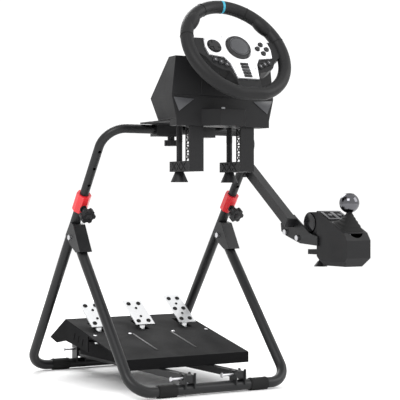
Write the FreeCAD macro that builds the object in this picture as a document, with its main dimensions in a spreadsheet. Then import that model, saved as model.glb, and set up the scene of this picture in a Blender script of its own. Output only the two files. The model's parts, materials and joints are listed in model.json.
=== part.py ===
import FreeCAD, Part
import math
import os
import re
import types
import Sketcher

# A sim-racing rig: a steering wheel on its base, clamped to the deck of a folding tube stand that also
# carries a three-pedal set and a gear shifter on a side arm.
# Frame: origin on the floor, midway between the two floor bars. +X is the driver's right, +Y points away
# from the driver and +Z up. Sizes are millimetres and degrees.

SIZES = {
    # stand: two floor hoops that cross at the hinge bolts
    "stand_width": 425.0,
    "foot_spread": 584.4,
    "tube_d": 25.4,
    "tube_wall": 1.5,
    "floor_bend": 50.0,
    "front_lean": 36.1,
    "front_leg_length": 553.0,
    "foot_wall": 2.0,
    "foot_width": 48.0,
    "foot_x": 125.0,
    # hinge of the rear hoop
    "hinge_height": 362.0,
    "hinge_spacing": 27.0,
    "hinge_bolt_d": 8.0,
    "hinge_head_d": 14.0,
    "hinge_head_t": 5.0,
    "channel_gap": 0.8,
    "channel_wall": 3.0,
    "rear_tail": 13.2,
    # sliding top hoop and its locks
    "top_tube_d": 21.8,
    "top_tube_wall": 1.5,
    "top_bend": 55.0,
    "top_reach": 754.2,
    "top_end": 440.0,
    "height_hole_d": 8.0,
    "height_hole_y": 62.2,
    "height_pitch": 49.0,
    "collar_flats": 34.0,
    "collar_start": 514.0,
    "collar_top": 562.0,
    "lock_place": 530.0,
    "lock_bolt_d": 8.0,
    "lock_knob_d": 38.0,
    "lock_knob_t": 15.0,
    "lock_reach": 38.0,
    "running_gap": 0.3,
    "bolt_gap": 0.05,
    # deck plate on the top hoop's crossbar
    "deck_width": 230.0,
    "deck_depth": 155.0,
    "deck_t": 4.0,
    "deck_far": 145.0,
    "saddle_width": 60.0,
    "saddle_x": 52.0,
    "saddle_wall": 6.0,
    "tilt_knob_x": 34.0,
    "tilt_knob_d": 34.0,
    "tilt_knob_t": 14.0,
    # wheel base housing
    "base_wall": 3.0,
    "base_front": 340.0,
    "base_split": 300.0,
    "base_low_x": 126.0,
    "base_low_side_x": 121.0,
    "base_low_side_y": 245.0,
    "base_low_rear_x": 95.0,
    "base_low_rear_y": 200.0,
    "base_mid_z": 51.0,
    "base_mid_x": 138.0,
    "base_mid_side_x": 132.0,
    "base_mid_side_y": 228.0,
    "base_mid_rear_x": 100.0,
    "base_mid_rear_y": 180.0,
    "base_height": 142.0,
    "base_top_x": 128.0,
    "base_top_side_x": 125.0,
    "base_top_side_y": 303.0,
    "base_top_rear_x": 95.0,
    "base_top_rear_y": 268.0,
    "chin_drop": 16.0,
    "chin_rise": 38.0,
    "chin_out": 40.0,
    "chin_x": 33.0,
    "chin_root_x": 60.0,
    "nose_d": 96.0,
    "nose_top": 60.0,
    "nose_depth": 62.0,
    "switch_d": 9.0,
    "switch_t": 3.0,
    # base clamps
    "clamp_x": 69.0,
    "clamp_arm_w": 37.0,
    "clamp_arm_t": 5.0,
    "clamp_rib_t": 4.0,
    "clamp_depth": 24.0,
    "clamp_drop": 104.0,
    "clamp_front": 334.0,
    "clamp_foot_t": 24.0,
    "clamp_foot_w": 34.0,
    "screw_y": 254.0,
    "screw_d": 14.0,
    "pad_d": 30.0,
    "pad_t": 5.0,
    "clamp_knob_d": 42.0,
    "clamp_knob_t": 24.0,
    # steering wheel
    "wheel_y": 395.0,
    "wheel_z": 795.5,
    "wheel_tilt": 32.0,
    "rim_radius": 125.0,
    "grip_d": 30.0,
    "rim_flat": 121.0,
    "rim_blend": 45.0,
    "plate_t": 4.0,
    "plate_front": 9.0,
    "casing_depth": 26.0,
    "hub_d": 66.0,
    "hub_t": 5.0,
    "boss_d": 62.0,
    "boss_length": 31.0,
    "shaft_d": 20.0,
    "shaft_length": 150.0,
    "bearing_d": 42.0,
    "bearing_t": 12.0,
    "arm_end_x": 84.0,
    "spoke_foot": 86.0,
    # controls on the wheel
    "key_gap": 0.3,
    "key_travel": 1.5,
    "cap_rise": 3.0,
    "cap_depth": 6.0,
    "dpad_x": 64.0,
    "dpad_d": 32.0,
    "face_x": 64.0,
    "face_pitch": 12.5,
    "face_d": 11.0,
    "pod_key_d": 12.0,
    "menu_top": 44.0,
    "menu_pitch": 8.2,
    "menu_w": 20.0,
    "menu_h": 6.0,
    "paddle_t": 4.0,
    "paddle_length": 62.0,
    "paddle_h": 34.0,
    "paddle_x": 38.0,
    "paddle_drop": 6.0,
    "paddle_pin_d": 3.0,
    "paddle_barrel_d": 7.0,
    # pedal rack
    "rail_x": 69.0,
    "rail_w": 20.0,
    "rail_t": 16.0,
    "rail_z": 41.0,
    "far_pin_z": 52.0,
    "ear_w": 30.0,
    "ear_t": 4.0,
    "ear_rise": 12.0,
    "pin_d": 6.0,
    "pin_length": 60.0,
    "pedal_width": 350.0,
    "pedal_sheet": 3.0,
    "pedal_near": 175.0,
    "pedal_far": 150.0,
    "pedal_near_z": 76.0,
    "pedal_far_z": 148.0,
    "pedal_tail": 245.0,
    "pedal_tail_z": 94.0,
    "pedal_flange": 26.0,
    "box_half": 108.0,
    # pedals
    "pedal_pitch": 125.0,
    "pedal_pivot_y": 62.0,
    "pedal_pivot_z": 98.0,
    "pedal_shaft_d": 8.0,
    "pedal_arm_w": 14.0,
    "pedal_foot_y": 42.0,
    "pedal_foot_z": 133.0,
    "pedal_rake": 35.0,
    "pedal_long": 97.0,
    "pedal_t": 3.0,
    "pedal_lip": 14.0,
    "pedal_face_w": 54.0,
    "throttle_face_w": 48.0,
    "throttle_extra": 14.0,
    "grip_hole_d": 11.0,
    "rivet_d": 6.0,
    # shifter on its side arm
    "arm_x": 237.5,
    "arm_size": 25.0,
    "arm_wall": 2.0,
    "arm_top_y": -76.0,
    "arm_top_z": 537.0,
    "arm_slope": 35.8,
    "arm_length": 235.0,
    "web_t": 4.0,
    "flange_t": 6.0,
    "flange_z": 364.0,
    "flange_near": 348.0,
    "flange_far": 290.0,
    "bolt_d": 8.0,
    "bolt_head_d": 14.0,
    "bolt_head_t": 5.0,
    "shifter_left": 255.0,
    "shifter_w": 70.0,
    "shifter_near": 472.0,
    "shifter_far": 353.0,
    "shifter_low": 297.0,
    "shifter_near_z": 371.0,
    "shifter_far_z": 428.0,
    "shifter_wall": 3.0,
    "shifter_back": 403.0,
    "lever_y": 436.0,
    "lever_pivot_z": 345.0,
    "lever_d": 12.0,
    "ball_d": 48.0,
    "ball_z": 447.0,
    "gimbal_w": 40.0,
    "gimbal_t": 8.0,
    "gimbal_hole": 26.0,
    "trunnion_d": 6.0,
    "boot_foot_d": 42.0,
    "boot_top_d": 22.0,
    "boot_low_z": 396.0,
    "boot_top_z": 422.0,
    "boot_hole_d": 64.0,
    "shift_key_d": 11.0,
    "jaw_w": 50.0,
    "jaw_reach": 50.0,
    "jaw_t": 22.0,
    "lower_jaw_z": 322.0,
    "lower_jaw_t": 12.0,
    "jaw_screw_y": 321.0,
    "jaw_screw_d": 8.0,
    "jaw_pad_d": 18.0,
    "jaw_pad_t": 4.0,
    "jaw_knob_d": 34.0,
    "jaw_knob_t": 14.0,
    "jaw_knob_z": 292.0,
}

X_AXIS = FreeCAD.Vector(1, 0, 0)
Y_AXIS = FreeCAD.Vector(0, 1, 0)
Z_AXIS = FreeCAD.Vector(0, 0, 1)
# turns a sketch plane's x, y and normal into Y, Z and X, for side profiles
SIDEWAYS = FreeCAD.Rotation(FreeCAD.Vector(1, 1, 1), 120)

doc = FreeCAD.newDocument("DrivingRig")
sheet = doc.addObject("Spreadsheet::Sheet", "Sizes")
for row, (alias, number) in enumerate(SIZES.items(), 1):
    sheet.set(f"A{row}", alias)
    sheet.set(f"B{row}", str(number))
    sheet.setAlias(f"B{row}", alias)
doc.recompute()
v = types.SimpleNamespace(**{alias: float(sheet.get(alias)) for alias in SIZES})
nodes = []


# ---------------------------------------------------------------- helpers

def bind(thing, prop, formula):
    """Tie one property to a formula of the sheet's sizes."""
    thing.setExpression(prop, re.sub(r"[a-z]\w*", lambda word: "Sizes." + word.group(0), formula))


def put(thing, x=0.0, y=0.0, z=0.0, turn=None):
    thing.Placement = FreeCAD.Placement(FreeCAD.Vector(x, y, z), turn or FreeCAD.Rotation())
    return thing


def box(width, depth, height, corner, turn=None):
    thing = doc.addObject("Part::Box", "Box")
    bind(thing, "Length", width)
    bind(thing, "Width", depth)
    bind(thing, "Height", height)
    return put(thing, *corner, turn)


def rod(diameter, length, start, along=Z_AXIS):
    """A cylinder from its start point along a direction."""
    thing = doc.addObject("Part::Cylinder", "Rod")
    bind(thing, "Radius", f"({diameter}) / 2")
    bind(thing, "Height", length)
    return put(thing, *start, FreeCAD.Rotation(Z_AXIS, FreeCAD.Vector(*along)))


def cone(low_d, top_d, length, start, along=Z_AXIS):
    thing = doc.addObject("Part::Cone", "Cone")
    bind(thing, "Radius1", f"({low_d}) / 2")
    bind(thing, "Radius2", f"({top_d}) / 2")
    bind(thing, "Height", length)
    return put(thing, *start, FreeCAD.Rotation(Z_AXIS, FreeCAD.Vector(*along)))


def ball(diameter, centre):
    thing = doc.addObject("Part::Sphere", "Ball")
    bind(thing, "Radius", f"({diameter}) / 2")
    return put(thing, *centre)


def fuse(*things):
    joined = doc.addObject("Part::MultiFuse", "Joined")
    joined.Shapes = list(things)
    return joined


def cut(thing, *tools):
    trimmed = doc.addObject("Part::Cut", "Trimmed")
    trimmed.Base = thing
    trimmed.Tool = tools[0] if len(tools) == 1 else fuse(*tools)
    return trimmed


def common(first, second):
    kept = doc.addObject("Part::Common", "Kept")
    kept.Base = first
    kept.Tool = second
    return kept


def plane_sketch(body, role="XY_Plane", lift="0"):
    """A sketch on one of the body's origin planes, moved along its normal."""
    sketch = body.newObject("Sketcher::SketchObject", "Outline")
    plane = [item for item in body.Origin.OriginFeatures if item.Role == role][0]
    sketch.AttachmentSupport = [(plane, "")]
    sketch.MapMode = "FlatFace"
    bind(sketch, "AttachmentOffset.Base.z", lift)
    return sketch


def fix(sketch, kind, formula, *places, now=1.0):
    """Add one dimension whose value is a formula of sizes; now is what the drawn lines measure."""
    index = sketch.addConstraint(Sketcher.Constraint(kind, *places, now))
    bind(sketch, f"Constraints[{index}]", formula)


def draw_polygon(sketch, corners):
    """A closed outline whose every corner is dimensioned from the origin."""
    count = len(corners)
    spread = [math.tau * i / count for i in range(count)]
    start = [FreeCAD.Vector(10 * math.cos(a), 10 * math.sin(a), 0) for a in spread]
    for i in range(count):
        sketch.addGeometry(Part.LineSegment(start[i], start[(i + 1) % count]))
    for i in range(count):
        sketch.addConstraint(Sketcher.Constraint("Coincident", i, 2, (i + 1) % count, 1))
    for i, (across, up) in enumerate(corners):
        fix(sketch, "DistanceX", across, -1, 1, i, 1)
        fix(sketch, "DistanceY", up, -1, 1, i, 1)


def prism(corners, thickness):
    """A polygon padded upwards from its own XY plane."""
    body = doc.addObject("PartDesign::Body", "Prism")
    sketch = plane_sketch(body)
    draw_polygon(sketch, corners)
    pad = body.newObject("PartDesign::Pad", "Pad")
    pad.Profile = sketch
    bind(pad, "Length", thickness)
    return body


def side_prism(corners, thickness, x):
    """A prism whose outline is given as (Y, Z) and which grows along X from x."""
    return put(prism(corners, thickness), x, 0, 0, SIDEWAYS)


def mirrored(corners):
    """Close a right-hand outline, listed from top to bottom, with its mirror image."""
    left = [(f"-({across})", up) for across, up in reversed(corners) if across != "0"]
    return corners + left


def loft(rings):
    """A ruled loft through level polygons, each given as (height, corners)."""
    body = doc.addObject("PartDesign::Body", "Loft")
    sketches = []
    for height, corners in rings:
        sketch = plane_sketch(body, lift=height)
        draw_polygon(sketch, corners)
        sketches.append(sketch)
    shape = body.newObject("PartDesign::AdditiveLoft", "Skin")
    shape.Profile = sketches[0]
    shape.Sections = sketches[1:]
    shape.Ruled = True
    return body


def hoop(length, bend, diameter, wall):
    """A U of tube: its bar on the local X axis, its two legs running along +Y."""
    body = doc.addObject("PartDesign::Body", "Hoop")
    path = plane_sketch(body)
    half, radius, reach = v.stand_width / 2, 50.0, 500.0
    left_leg = path.addGeometry(Part.LineSegment(
        FreeCAD.Vector(-half, reach, 0), FreeCAD.Vector(-half, radius, 0)))
    left_bend = path.addGeometry(Part.ArcOfCircle(
        Part.Circle(FreeCAD.Vector(radius - half, radius, 0), Z_AXIS, radius), math.pi, 1.5 * math.pi))
    bar = path.addGeometry(Part.LineSegment(
        FreeCAD.Vector(radius - half, 0, 0), FreeCAD.Vector(half - radius, 0, 0)))
    right_bend = path.addGeometry(Part.ArcOfCircle(
        Part.Circle(FreeCAD.Vector(half - radius, radius, 0), Z_AXIS, radius), 1.5 * math.pi, math.tau))
    right_leg = path.addGeometry(Part.LineSegment(
        FreeCAD.Vector(half, radius, 0), FreeCAD.Vector(half, reach, 0)))
    runs = [left_leg, left_bend, bar, right_bend, right_leg]
    for before, after in zip(runs, runs[1:]):
        path.addConstraint(Sketcher.Constraint("Tangent", before, 2, after, 1))
    path.addConstraint(Sketcher.Constraint("Vertical", left_leg))
    path.addConstraint(Sketcher.Constraint("Vertical", right_leg))
    path.addConstraint(Sketcher.Constraint("Horizontal", bar))
    path.addConstraint(Sketcher.Constraint("PointOnObject", bar, 1, -1))
    fix(path, "Radius", bend, left_bend, now=radius)
    fix(path, "Radius", bend, right_bend, now=radius)
    fix(path, "DistanceX", "stand_width / 2", left_leg, 1, -1, 1, now=half)
    fix(path, "DistanceX", "stand_width / 2", -1, 1, right_leg, 2, now=half)
    fix(path, "DistanceY", length, -1, 1, left_leg, 1, now=reach)
    fix(path, "DistanceY", length, -1, 1, right_leg, 2, now=reach)
    section = plane_sketch(body, "XZ_Plane", f"-({length})")
    for radius_formula in (f"({diameter}) / 2", f"({diameter}) / 2 - {wall}"):
        circle = section.addGeometry(Part.Circle(FreeCAD.Vector(-half, 0, 0), Z_AXIS, v.tube_d / 2))
        fix(section, "Radius", radius_formula, circle)
        fix(section, "DistanceX", "stand_width / 2", circle, 3, -1, 1)
        section.addConstraint(Sketcher.Constraint("PointOnObject", circle, 3, -1))
    doc.recompute()
    pipe = body.newObject("PartDesign::AdditivePipe", "Pipe")
    pipe.Profile = section
    pipe.Spine = (path, [])
    return body


def scripted(shape):
    """A shape made with Part's own functions."""
    thing = doc.addObject("Part::Feature", "Scripted")
    thing.Shape = shape
    return thing


def star_knob(diameter, thickness, lobes, start, along):
    """A lobed hand knob: a disc with scallops cut out between its lobes."""
    disc = rod(diameter, thickness, (0, 0, 0))
    scallops = []
    ring = getattr(v, diameter) * 0.56
    for i in range(lobes):
        turn = math.tau * (i + 0.5) / lobes
        scallops.append(rod(f"{diameter} * 0.34", thickness, (ring * math.cos(turn), ring * math.sin(turn), 0)))
    knob = cut(disc, *scallops)
    return put(knob, *start, FreeCAD.Rotation(Z_AXIS, FreeCAD.Vector(*along)))


def node(name, thing, place=None):
    """Name a finished sub-part and move it from its own frame to its place on the rig."""
    if place is not None:
        thing.Placement = place.multiply(thing.Placement)
    thing.Label = name
    nodes.append(thing)
    return thing


# ---------------------------------------------------------------- frames of the tilted groups

BAR_Z = v.tube_d / 2 + v.foot_wall
LEAN = math.radians(v.front_lean)
TILT = math.radians(v.wheel_tilt)


def front_leg_point(along, out=0.0):
    """A point on the front legs' middle plane, out towards the driver."""
    y = v.foot_spread / 2 - along * math.sin(LEAN) - out * math.cos(LEAN)
    z = BAR_Z + along * math.cos(LEAN) - out * math.sin(LEAN)
    return y, z


FRONT = FreeCAD.Placement(FreeCAD.Vector(0, v.foot_spread / 2, BAR_Z),
                          FreeCAD.Rotation(X_AXIS, 90 + v.front_lean))
HINGE_ALONG = (v.hinge_height - BAR_Z + v.hinge_spacing * math.sin(LEAN)) / math.cos(LEAN)
HINGE_Y = front_leg_point(HINGE_ALONG, v.hinge_spacing)[0]
REAR_LEAN = math.degrees(math.atan2(v.foot_spread / 2 + HINGE_Y, v.hinge_height - BAR_Z))
REAR_LENGTH = math.hypot(v.foot_spread / 2 + HINGE_Y, v.hinge_height - BAR_Z)
REAR = FreeCAD.Placement(FreeCAD.Vector(0, -v.foot_spread / 2, BAR_Z),
                         FreeCAD.Rotation(X_AXIS, 90 - REAR_LEAN))
CROSSBAR_Y, CROSSBAR_Z = front_leg_point(v.top_reach)
TOP = FreeCAD.Placement(FreeCAD.Vector(0, CROSSBAR_Y, CROSSBAR_Z),
                        FreeCAD.Rotation(X_AXIS, 270 + v.front_lean))
WHEEL = FreeCAD.Placement(FreeCAD.Vector(0, -v.wheel_y, v.wheel_z),
                          FreeCAD.Rotation(X_AXIS, 90 - v.wheel_tilt))
DECK_LOW = CROSSBAR_Z + v.top_tube_d / 2 + 1.0
DECK_TOP = DECK_LOW + v.deck_t
# where the side arm's bolt crosses the top hoop's right leg
ARM_BOLT = front_leg_point((v.arm_top_z - BAR_Z) * math.cos(LEAN) + (v.foot_spread / 2 - v.arm_top_y) * math.sin(LEAN))
ARM_BOLT_Y = math.hypot(ARM_BOLT[0] - CROSSBAR_Y, ARM_BOLT[1] - CROSSBAR_Z)
SIDES = (-1, 1)
SIDE_NAMES = {-1: "left", 1: "right"}


# ---------------------------------------------------------------- stand

def bar_feet(y):
    """Rubber sleeves round a floor bar, each with a flat sole on the floor."""
    feet = []
    for side in SIDES:
        x = side * v.foot_x - v.foot_width / 2
        sleeve = rod("tube_d + 2 * foot_wall", "foot_width", (x, y, BAR_Z), X_AXIS)
        sole = box("foot_width", "tube_d / 2", "tube_d / 2", (x, y - v.tube_d / 4, 0))
        bar = rod("tube_d", "foot_width", (x, y, BAR_Z), X_AXIS)
        feet.append(cut(fuse(sleeve, sole), bar))
    return fuse(*feet)


def bar_ears(y, pin_z, open_top):
    """Pairs of welded ears that hold the rack's pins; open-topped ones have a V notch."""
    half = v.ear_w / 2
    top = pin_z + v.ear_rise
    notch = pin_z - 0.8 * v.pin_d
    corners = [(f"{y} - ear_w / 2", f"{BAR_Z + 2}"), (f"{y} + ear_w / 2", f"{BAR_Z + 2}"),
               (f"{y} + ear_w / 2", f"{top}")]
    if open_top:
        corners += [(f"{y + half - 4}", f"{top}"), (f"{y + 1}", f"{notch}"),
                    (f"{y - 1}", f"{notch}"), (f"{y - half + 4}", f"{top}")]
    corners.append((f"{y} - ear_w / 2", f"{top}"))
    tools = [rod("tube_d", "stand_width", (-v.stand_width / 2, y, BAR_Z), X_AXIS)]
    if not open_top:
        tools.append(rod("pin_d + 2 * bolt_gap", "stand_width", (-v.stand_width / 2, y, pin_z), X_AXIS))
    ears = []
    for side in SIDES:
        for flank in SIDES:
            middle = side * v.rail_x + flank * (v.rail_w / 2 + v.running_gap + v.ear_t / 2)
            ears.append(side_prism(corners, "ear_t", middle - v.ear_t / 2))
    return cut(fuse(*ears), *tools)


def make_front_frame():
    legs = hoop("front_leg_length", "floor_bend", "tube_d", "tube_wall")
    holes = []
    for side in SIDES:
        holes.append(rod("lock_bolt_d + 2 * running_gap", "tube_d", (side * v.stand_width / 2, v.lock_place, 0)))
    legs = cut(legs, *holes)
    legs.Placement = FRONT
    node("front_hoop", fuse(legs, bar_ears(v.foot_spread / 2, v.far_pin_z, False)))
    node("front_feet", bar_feet(v.foot_spread / 2))


def make_rear_frame():
    legs = hoop(f"{REAR_LENGTH} + rear_tail", "floor_bend", "tube_d", "tube_wall")
    bolt_hole = rod("hinge_bolt_d + 2 * bolt_gap", "stand_width + 2 * tube_d",
                    (-v.stand_width / 2 - v.tube_d, REAR_LENGTH, 0), X_AXIS)
    corner = (-v.stand_width / 2 - v.tube_d, REAR_LENGTH, -v.tube_d / 2)
    beyond = box("stand_width + 2 * tube_d", "rear_tail", "tube_d", corner)
    rounded = rod("2 * rear_tail - 0.02", "stand_width + 2 * tube_d",
                  (-v.stand_width / 2 - v.tube_d, REAR_LENGTH, 0), X_AXIS)
    legs = cut(legs, bolt_hole, cut(beyond, rounded))
    legs.Placement = REAR
    node("rear_hoop", fuse(legs, bar_ears(-v.foot_spread / 2, v.rail_z, True)))
    node("rear_feet", bar_feet(-v.foot_spread / 2))


def make_hinge_channels():
    """Folded channels welded to the front legs; the rear legs turn in them."""
    inner = v.tube_d + 2 * v.channel_gap
    outer = inner + 2 * v.channel_wall
    cheek = [("-49", "328"), ("-24", "326"), ("7", "344"), ("34", "367"), ("8", "398"), ("-10", "394")]
    room = [("-47.5", "320"), ("60", "320"), ("60", "378"), ("-15.5", "378")]
    foot_y, foot_z = front_leg_point(0)
    channels = []
    for side in SIDES:
        x = side * v.stand_width / 2
        leg = rod("tube_d", "front_leg_length", (x, foot_y, foot_z), (0, -math.sin(LEAN), math.cos(LEAN)))
        hole = rod("hinge_bolt_d", f"{outer}", (x - outer / 2, HINGE_Y, v.hinge_height), X_AXIS)
        body = side_prism(cheek, f"{outer}", x - outer / 2)
        channels.append(cut(body, side_prism(room, f"{inner}", x - inner / 2), leg, hole))
    node("hinge_channels", fuse(*channels))


def through_bolt(diameter, head_d, head_t, span, start):
    """A bolt along X with a hex head at one end and its nut at the other."""
    x, y, z = start
    shank = rod(diameter, f"{span}", start, X_AXIS)
    head = hexagon(head_d, head_t, (x - getattr(v, head_t), y, z), X_AXIS)
    nut = hexagon(head_d, head_t, (x + span, y, z), X_AXIS)
    return fuse(shank, head, nut)


def make_hinge_bolts():
    outer = v.tube_d + 2 * v.channel_gap + 2 * v.channel_wall
    bolts = []
    for side in SIDES:
        start = (side * v.stand_width / 2 - outer / 2, HINGE_Y, v.hinge_height)
        bolts.append(through_bolt("hinge_bolt_d", "hinge_head_d", "hinge_head_t", outer, start))
    node("hinge_bolts", fuse(*bolts))


def hexagon(across, height, start, along):
    """A hexagonal bolt head or nut, sized across its corners."""
    head = doc.addObject("Part::Prism", "Hexagon")
    head.Polygon = 6
    bind(head, "Circumradius", f"({across}) / 2")
    bind(head, "Height", height)
    return put(head, *start, FreeCAD.Rotation(Z_AXIS, FreeCAD.Vector(*along)))


def octagon(flats, height, start, along):
    collar = doc.addObject("Part::Prism", "Octagon")
    collar.Polygon = 8
    bind(collar, "Circumradius", f"({flats}) / 2 / {math.cos(math.pi / 8)}")
    bind(collar, "Height", height)
    flat_first = FreeCAD.Rotation(Z_AXIS, 22.5)
    return put(collar, *start, FreeCAD.Rotation(Z_AXIS, FreeCAD.Vector(*along)).multiply(flat_first))


def make_collars():
    """Faceted sleeves on the front legs' ends, which guide the sliding top hoop."""
    collars = []
    for side in SIDES:
        x = side * v.stand_width / 2
        outside = octagon("collar_flats", "collar_top - collar_start", (x, v.collar_start, 0), Y_AXIS)
        leg = rod("tube_d", "front_leg_length - collar_start", (x, v.collar_start, 0), Y_AXIS)
        guide = rod("top_tube_d + 2 * running_gap", "collar_top - collar_start", (x, v.collar_start, 0), Y_AXIS)
        bolt = rod("lock_bolt_d + 2 * running_gap", "collar_flats", (x, v.lock_place, 0))
        collars.append(cut(outside, leg, guide, bolt))
    node("lock_collars", fuse(*collars), FRONT)


def make_bracket():
    """The block welded to the right leg that the side arm is bolted against."""
    inner = v.stand_width / 2 + 3
    reach = v.arm_x - v.arm_size / 2 - inner
    block = box(f"{reach}", "28", "arm_size", (inner, ARM_BOLT_Y - 14, -v.arm_size / 2))
    leg = rod("top_tube_d", "60", (v.stand_width / 2, ARM_BOLT_Y - 30, 0), Y_AXIS)
    bolt = rod("bolt_d", "60", (v.stand_width / 2, ARM_BOLT_Y, 0), X_AXIS)
    return cut(block, leg, bolt)


def make_top_hoop():
    legs = hoop("top_reach - top_end", "top_bend", "top_tube_d", "top_tube_wall")
    holes = [rod("bolt_d", "2 * top_tube_d", (v.stand_width / 2 - v.top_tube_d, ARM_BOLT_Y, 0), X_AXIS)]
    for side in SIDES:
        for step in range(4):
            spot = (side * v.stand_width / 2, v.height_hole_y + step * v.height_pitch, -v.top_tube_d)
            holes.append(rod("height_hole_d", "top_tube_d", spot))
    node("top_hoop", fuse(cut(legs, *holes), make_bracket()), TOP)


def make_lock_knobs():
    """Star knobs on bolts that pass the collars and press on the sliding hoop."""
    tip = v.top_tube_d / 2 + v.running_gap
    for side in SIDES:
        x = side * v.stand_width / 2
        bolt = rod("lock_bolt_d", f"lock_reach - {tip}", (x, v.lock_place, tip))
        washer = rod("lock_bolt_d * 2.2", "2", (x, v.lock_place, v.collar_flats / 2 + v.running_gap))
        knob = star_knob("lock_knob_d", "lock_knob_t", 6, (x, v.lock_place, v.lock_reach), Z_AXIS)
        node(f"lock_knob_{SIDE_NAMES[side]}", fuse(bolt, washer, knob), FRONT)


# ---------------------------------------------------------------- deck

def make_deck():
    """The deck plate and the saddles that grip the top hoop's crossbar."""
    plate = box("deck_width", "deck_depth", "deck_t", (-v.deck_width / 2, -v.deck_far - v.deck_depth, DECK_LOW))
    bore = rod("top_tube_d + 2 * bolt_gap", "stand_width", (-v.stand_width / 2, CROSSBAR_Y, CROSSBAR_Z), X_AXIS)
    half = v.top_tube_d / 2 + v.saddle_wall
    saddles = []
    for side in SIDES:
        corner = (side * v.saddle_x - v.saddle_width / 2, CROSSBAR_Y - half, CROSSBAR_Z - half)
        saddles.append(box("saddle_width", f"{2 * half}", f"{half + DECK_LOW - CROSSBAR_Z}", corner))
    node("deck_plate", cut(fuse(plate, *saddles), bore))


def make_tilt_knob():
    """The star knob under the left saddle, which locks the deck's tilt."""
    top = CROSSBAR_Z - v.top_tube_d / 2 - v.saddle_wall - v.running_gap
    neck = rod("tilt_knob_d / 2", "8", (-v.tilt_knob_x, CROSSBAR_Y, top - 8))
    spot = (-v.tilt_knob_x, CROSSBAR_Y, top - 8 - v.tilt_knob_t)
    node("tilt_knob", fuse(neck, star_knob("tilt_knob_d", "tilt_knob_t", 6, spot, Z_AXIS)))


# ---------------------------------------------------------------- wheel base

def base_rings(shrink):
    """The housing's three level outlines, pulled in by a wall's thickness."""
    rings = []
    levels = [("low", "0", shrink), ("mid", "base_mid_z", 0), ("top", "base_height", -shrink)]
    for level, height, lift in levels:
        corners = [
            (f"base_{level}_x - {shrink}", f"-base_front + {shrink}"),
            (f"base_{level}_side_x - {shrink}", f"-base_{level}_side_y - {shrink / 2}"),
            (f"base_{level}_rear_x - {shrink}", f"-base_{level}_rear_y - {shrink}"),
        ]
        rings.append((f"{height} + {lift}", mirrored(corners)))
    return rings


def make_base():
    """The housing in two shells that meet behind the front face, with the nose round the shaft."""
    floor = DECK_TOP
    skin = put(loft(base_rings(0)), 0, 0, floor)
    hollow = put(loft(base_rings(v.base_wall)), 0, 0, floor)
    shell = cut(skin, hollow)
    reach = v.stand_width
    front_half = box("stand_width", "stand_width", "stand_width", (-reach / 2, -v.base_split - reach, floor - 1))
    rear_half = box("stand_width", "stand_width", "stand_width", (-reach / 2, -v.base_split, floor - 1))
    chin = prism([
        ("-base_low_x", "-base_front"), ("-chin_root_x", "-base_front"), ("-chin_x", "-base_front - chin_out"),
        ("chin_x", "-base_front - chin_out"), ("chin_root_x", "-base_front"), ("base_low_x", "-base_front"),
        ("base_low_x - 4", "-base_split - 2"), ("-base_low_x + 4", "-base_split - 2"),
    ], "chin_drop")
    put(chin, 0, 0, floor - v.chin_drop)
    lip = prism([
        ("-chin_root_x", "-base_front - 0.2"), ("-chin_x", "-base_front - chin_out"),
        ("chin_x", "-base_front - chin_out"), ("chin_root_x", "-base_front - 0.2"),
        ("chin_root_x", "-base_front + base_wall / 2"), ("-chin_root_x", "-base_front + base_wall / 2"),
    ], "chin_rise - chin_drop")
    put(lip, 0, 0, floor)
    nose = cone("nose_d", "nose_d * 0.8", "nose_depth", (0, 0, -v.nose_top - v.nose_depth))
    bearing_seat = rod("bearing_d", "nose_depth + 10", (0, 0, -v.nose_top - v.nose_depth - 5))
    for piece in (nose, bearing_seat):
        piece.Placement = WHEEL.multiply(piece.Placement)
    keep_off = box("stand_width", "stand_width", "stand_width", (-reach / 2, -v.base_split, floor - reach / 2))
    nose = cut(nose, keep_off)
    switch_spot = (-14, -v.base_front - v.chin_out / 2, floor + v.chin_rise - v.chin_drop - 8)
    switch_hole = rod("switch_d + 2 * key_gap", "20", switch_spot)
    node("base_front_shell", cut(fuse(common(shell, front_half), chin, lip, nose), bearing_seat, switch_hole))
    node("base_rear_shell", common(shell, rear_half))
    switch = rod("switch_d", "8 + switch_t", switch_spot)
    switch.Placement.move(FreeCAD.Vector(0, 0, v.key_gap + v.key_travel))
    node("base_switch", switch)


def pad_and_screw(names, sizes, spot, low):
    """A swivel pad on a screw with a tapered hand knob; the spot is the middle of the pad's top."""
    pad_name, screw_name = names
    pad_d, pad_t, screw_d, knob_d, knob_t = sizes
    x, y, top = spot
    pad_low = top - getattr(v, pad_t)
    pin_d = f"{screw_d} * 0.45"
    pad = rod(pad_d, pad_t, (x, y, pad_low))
    node(pad_name, fuse(pad, rod(pin_d, "8", (x, y, pad_low - 8))))
    stem = rod(screw_d, f"{pad_low - v.running_gap - low}", (x, y, low))
    knob = cone(knob_d, f"{screw_d} * 1.5", knob_t, (x, y, low - getattr(v, knob_t)))
    socket = rod(f"{pin_d} + 2 * bolt_gap", "9", (x, y, pad_low - 9))
    node(screw_name, cut(fuse(stem, knob), socket))


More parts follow.
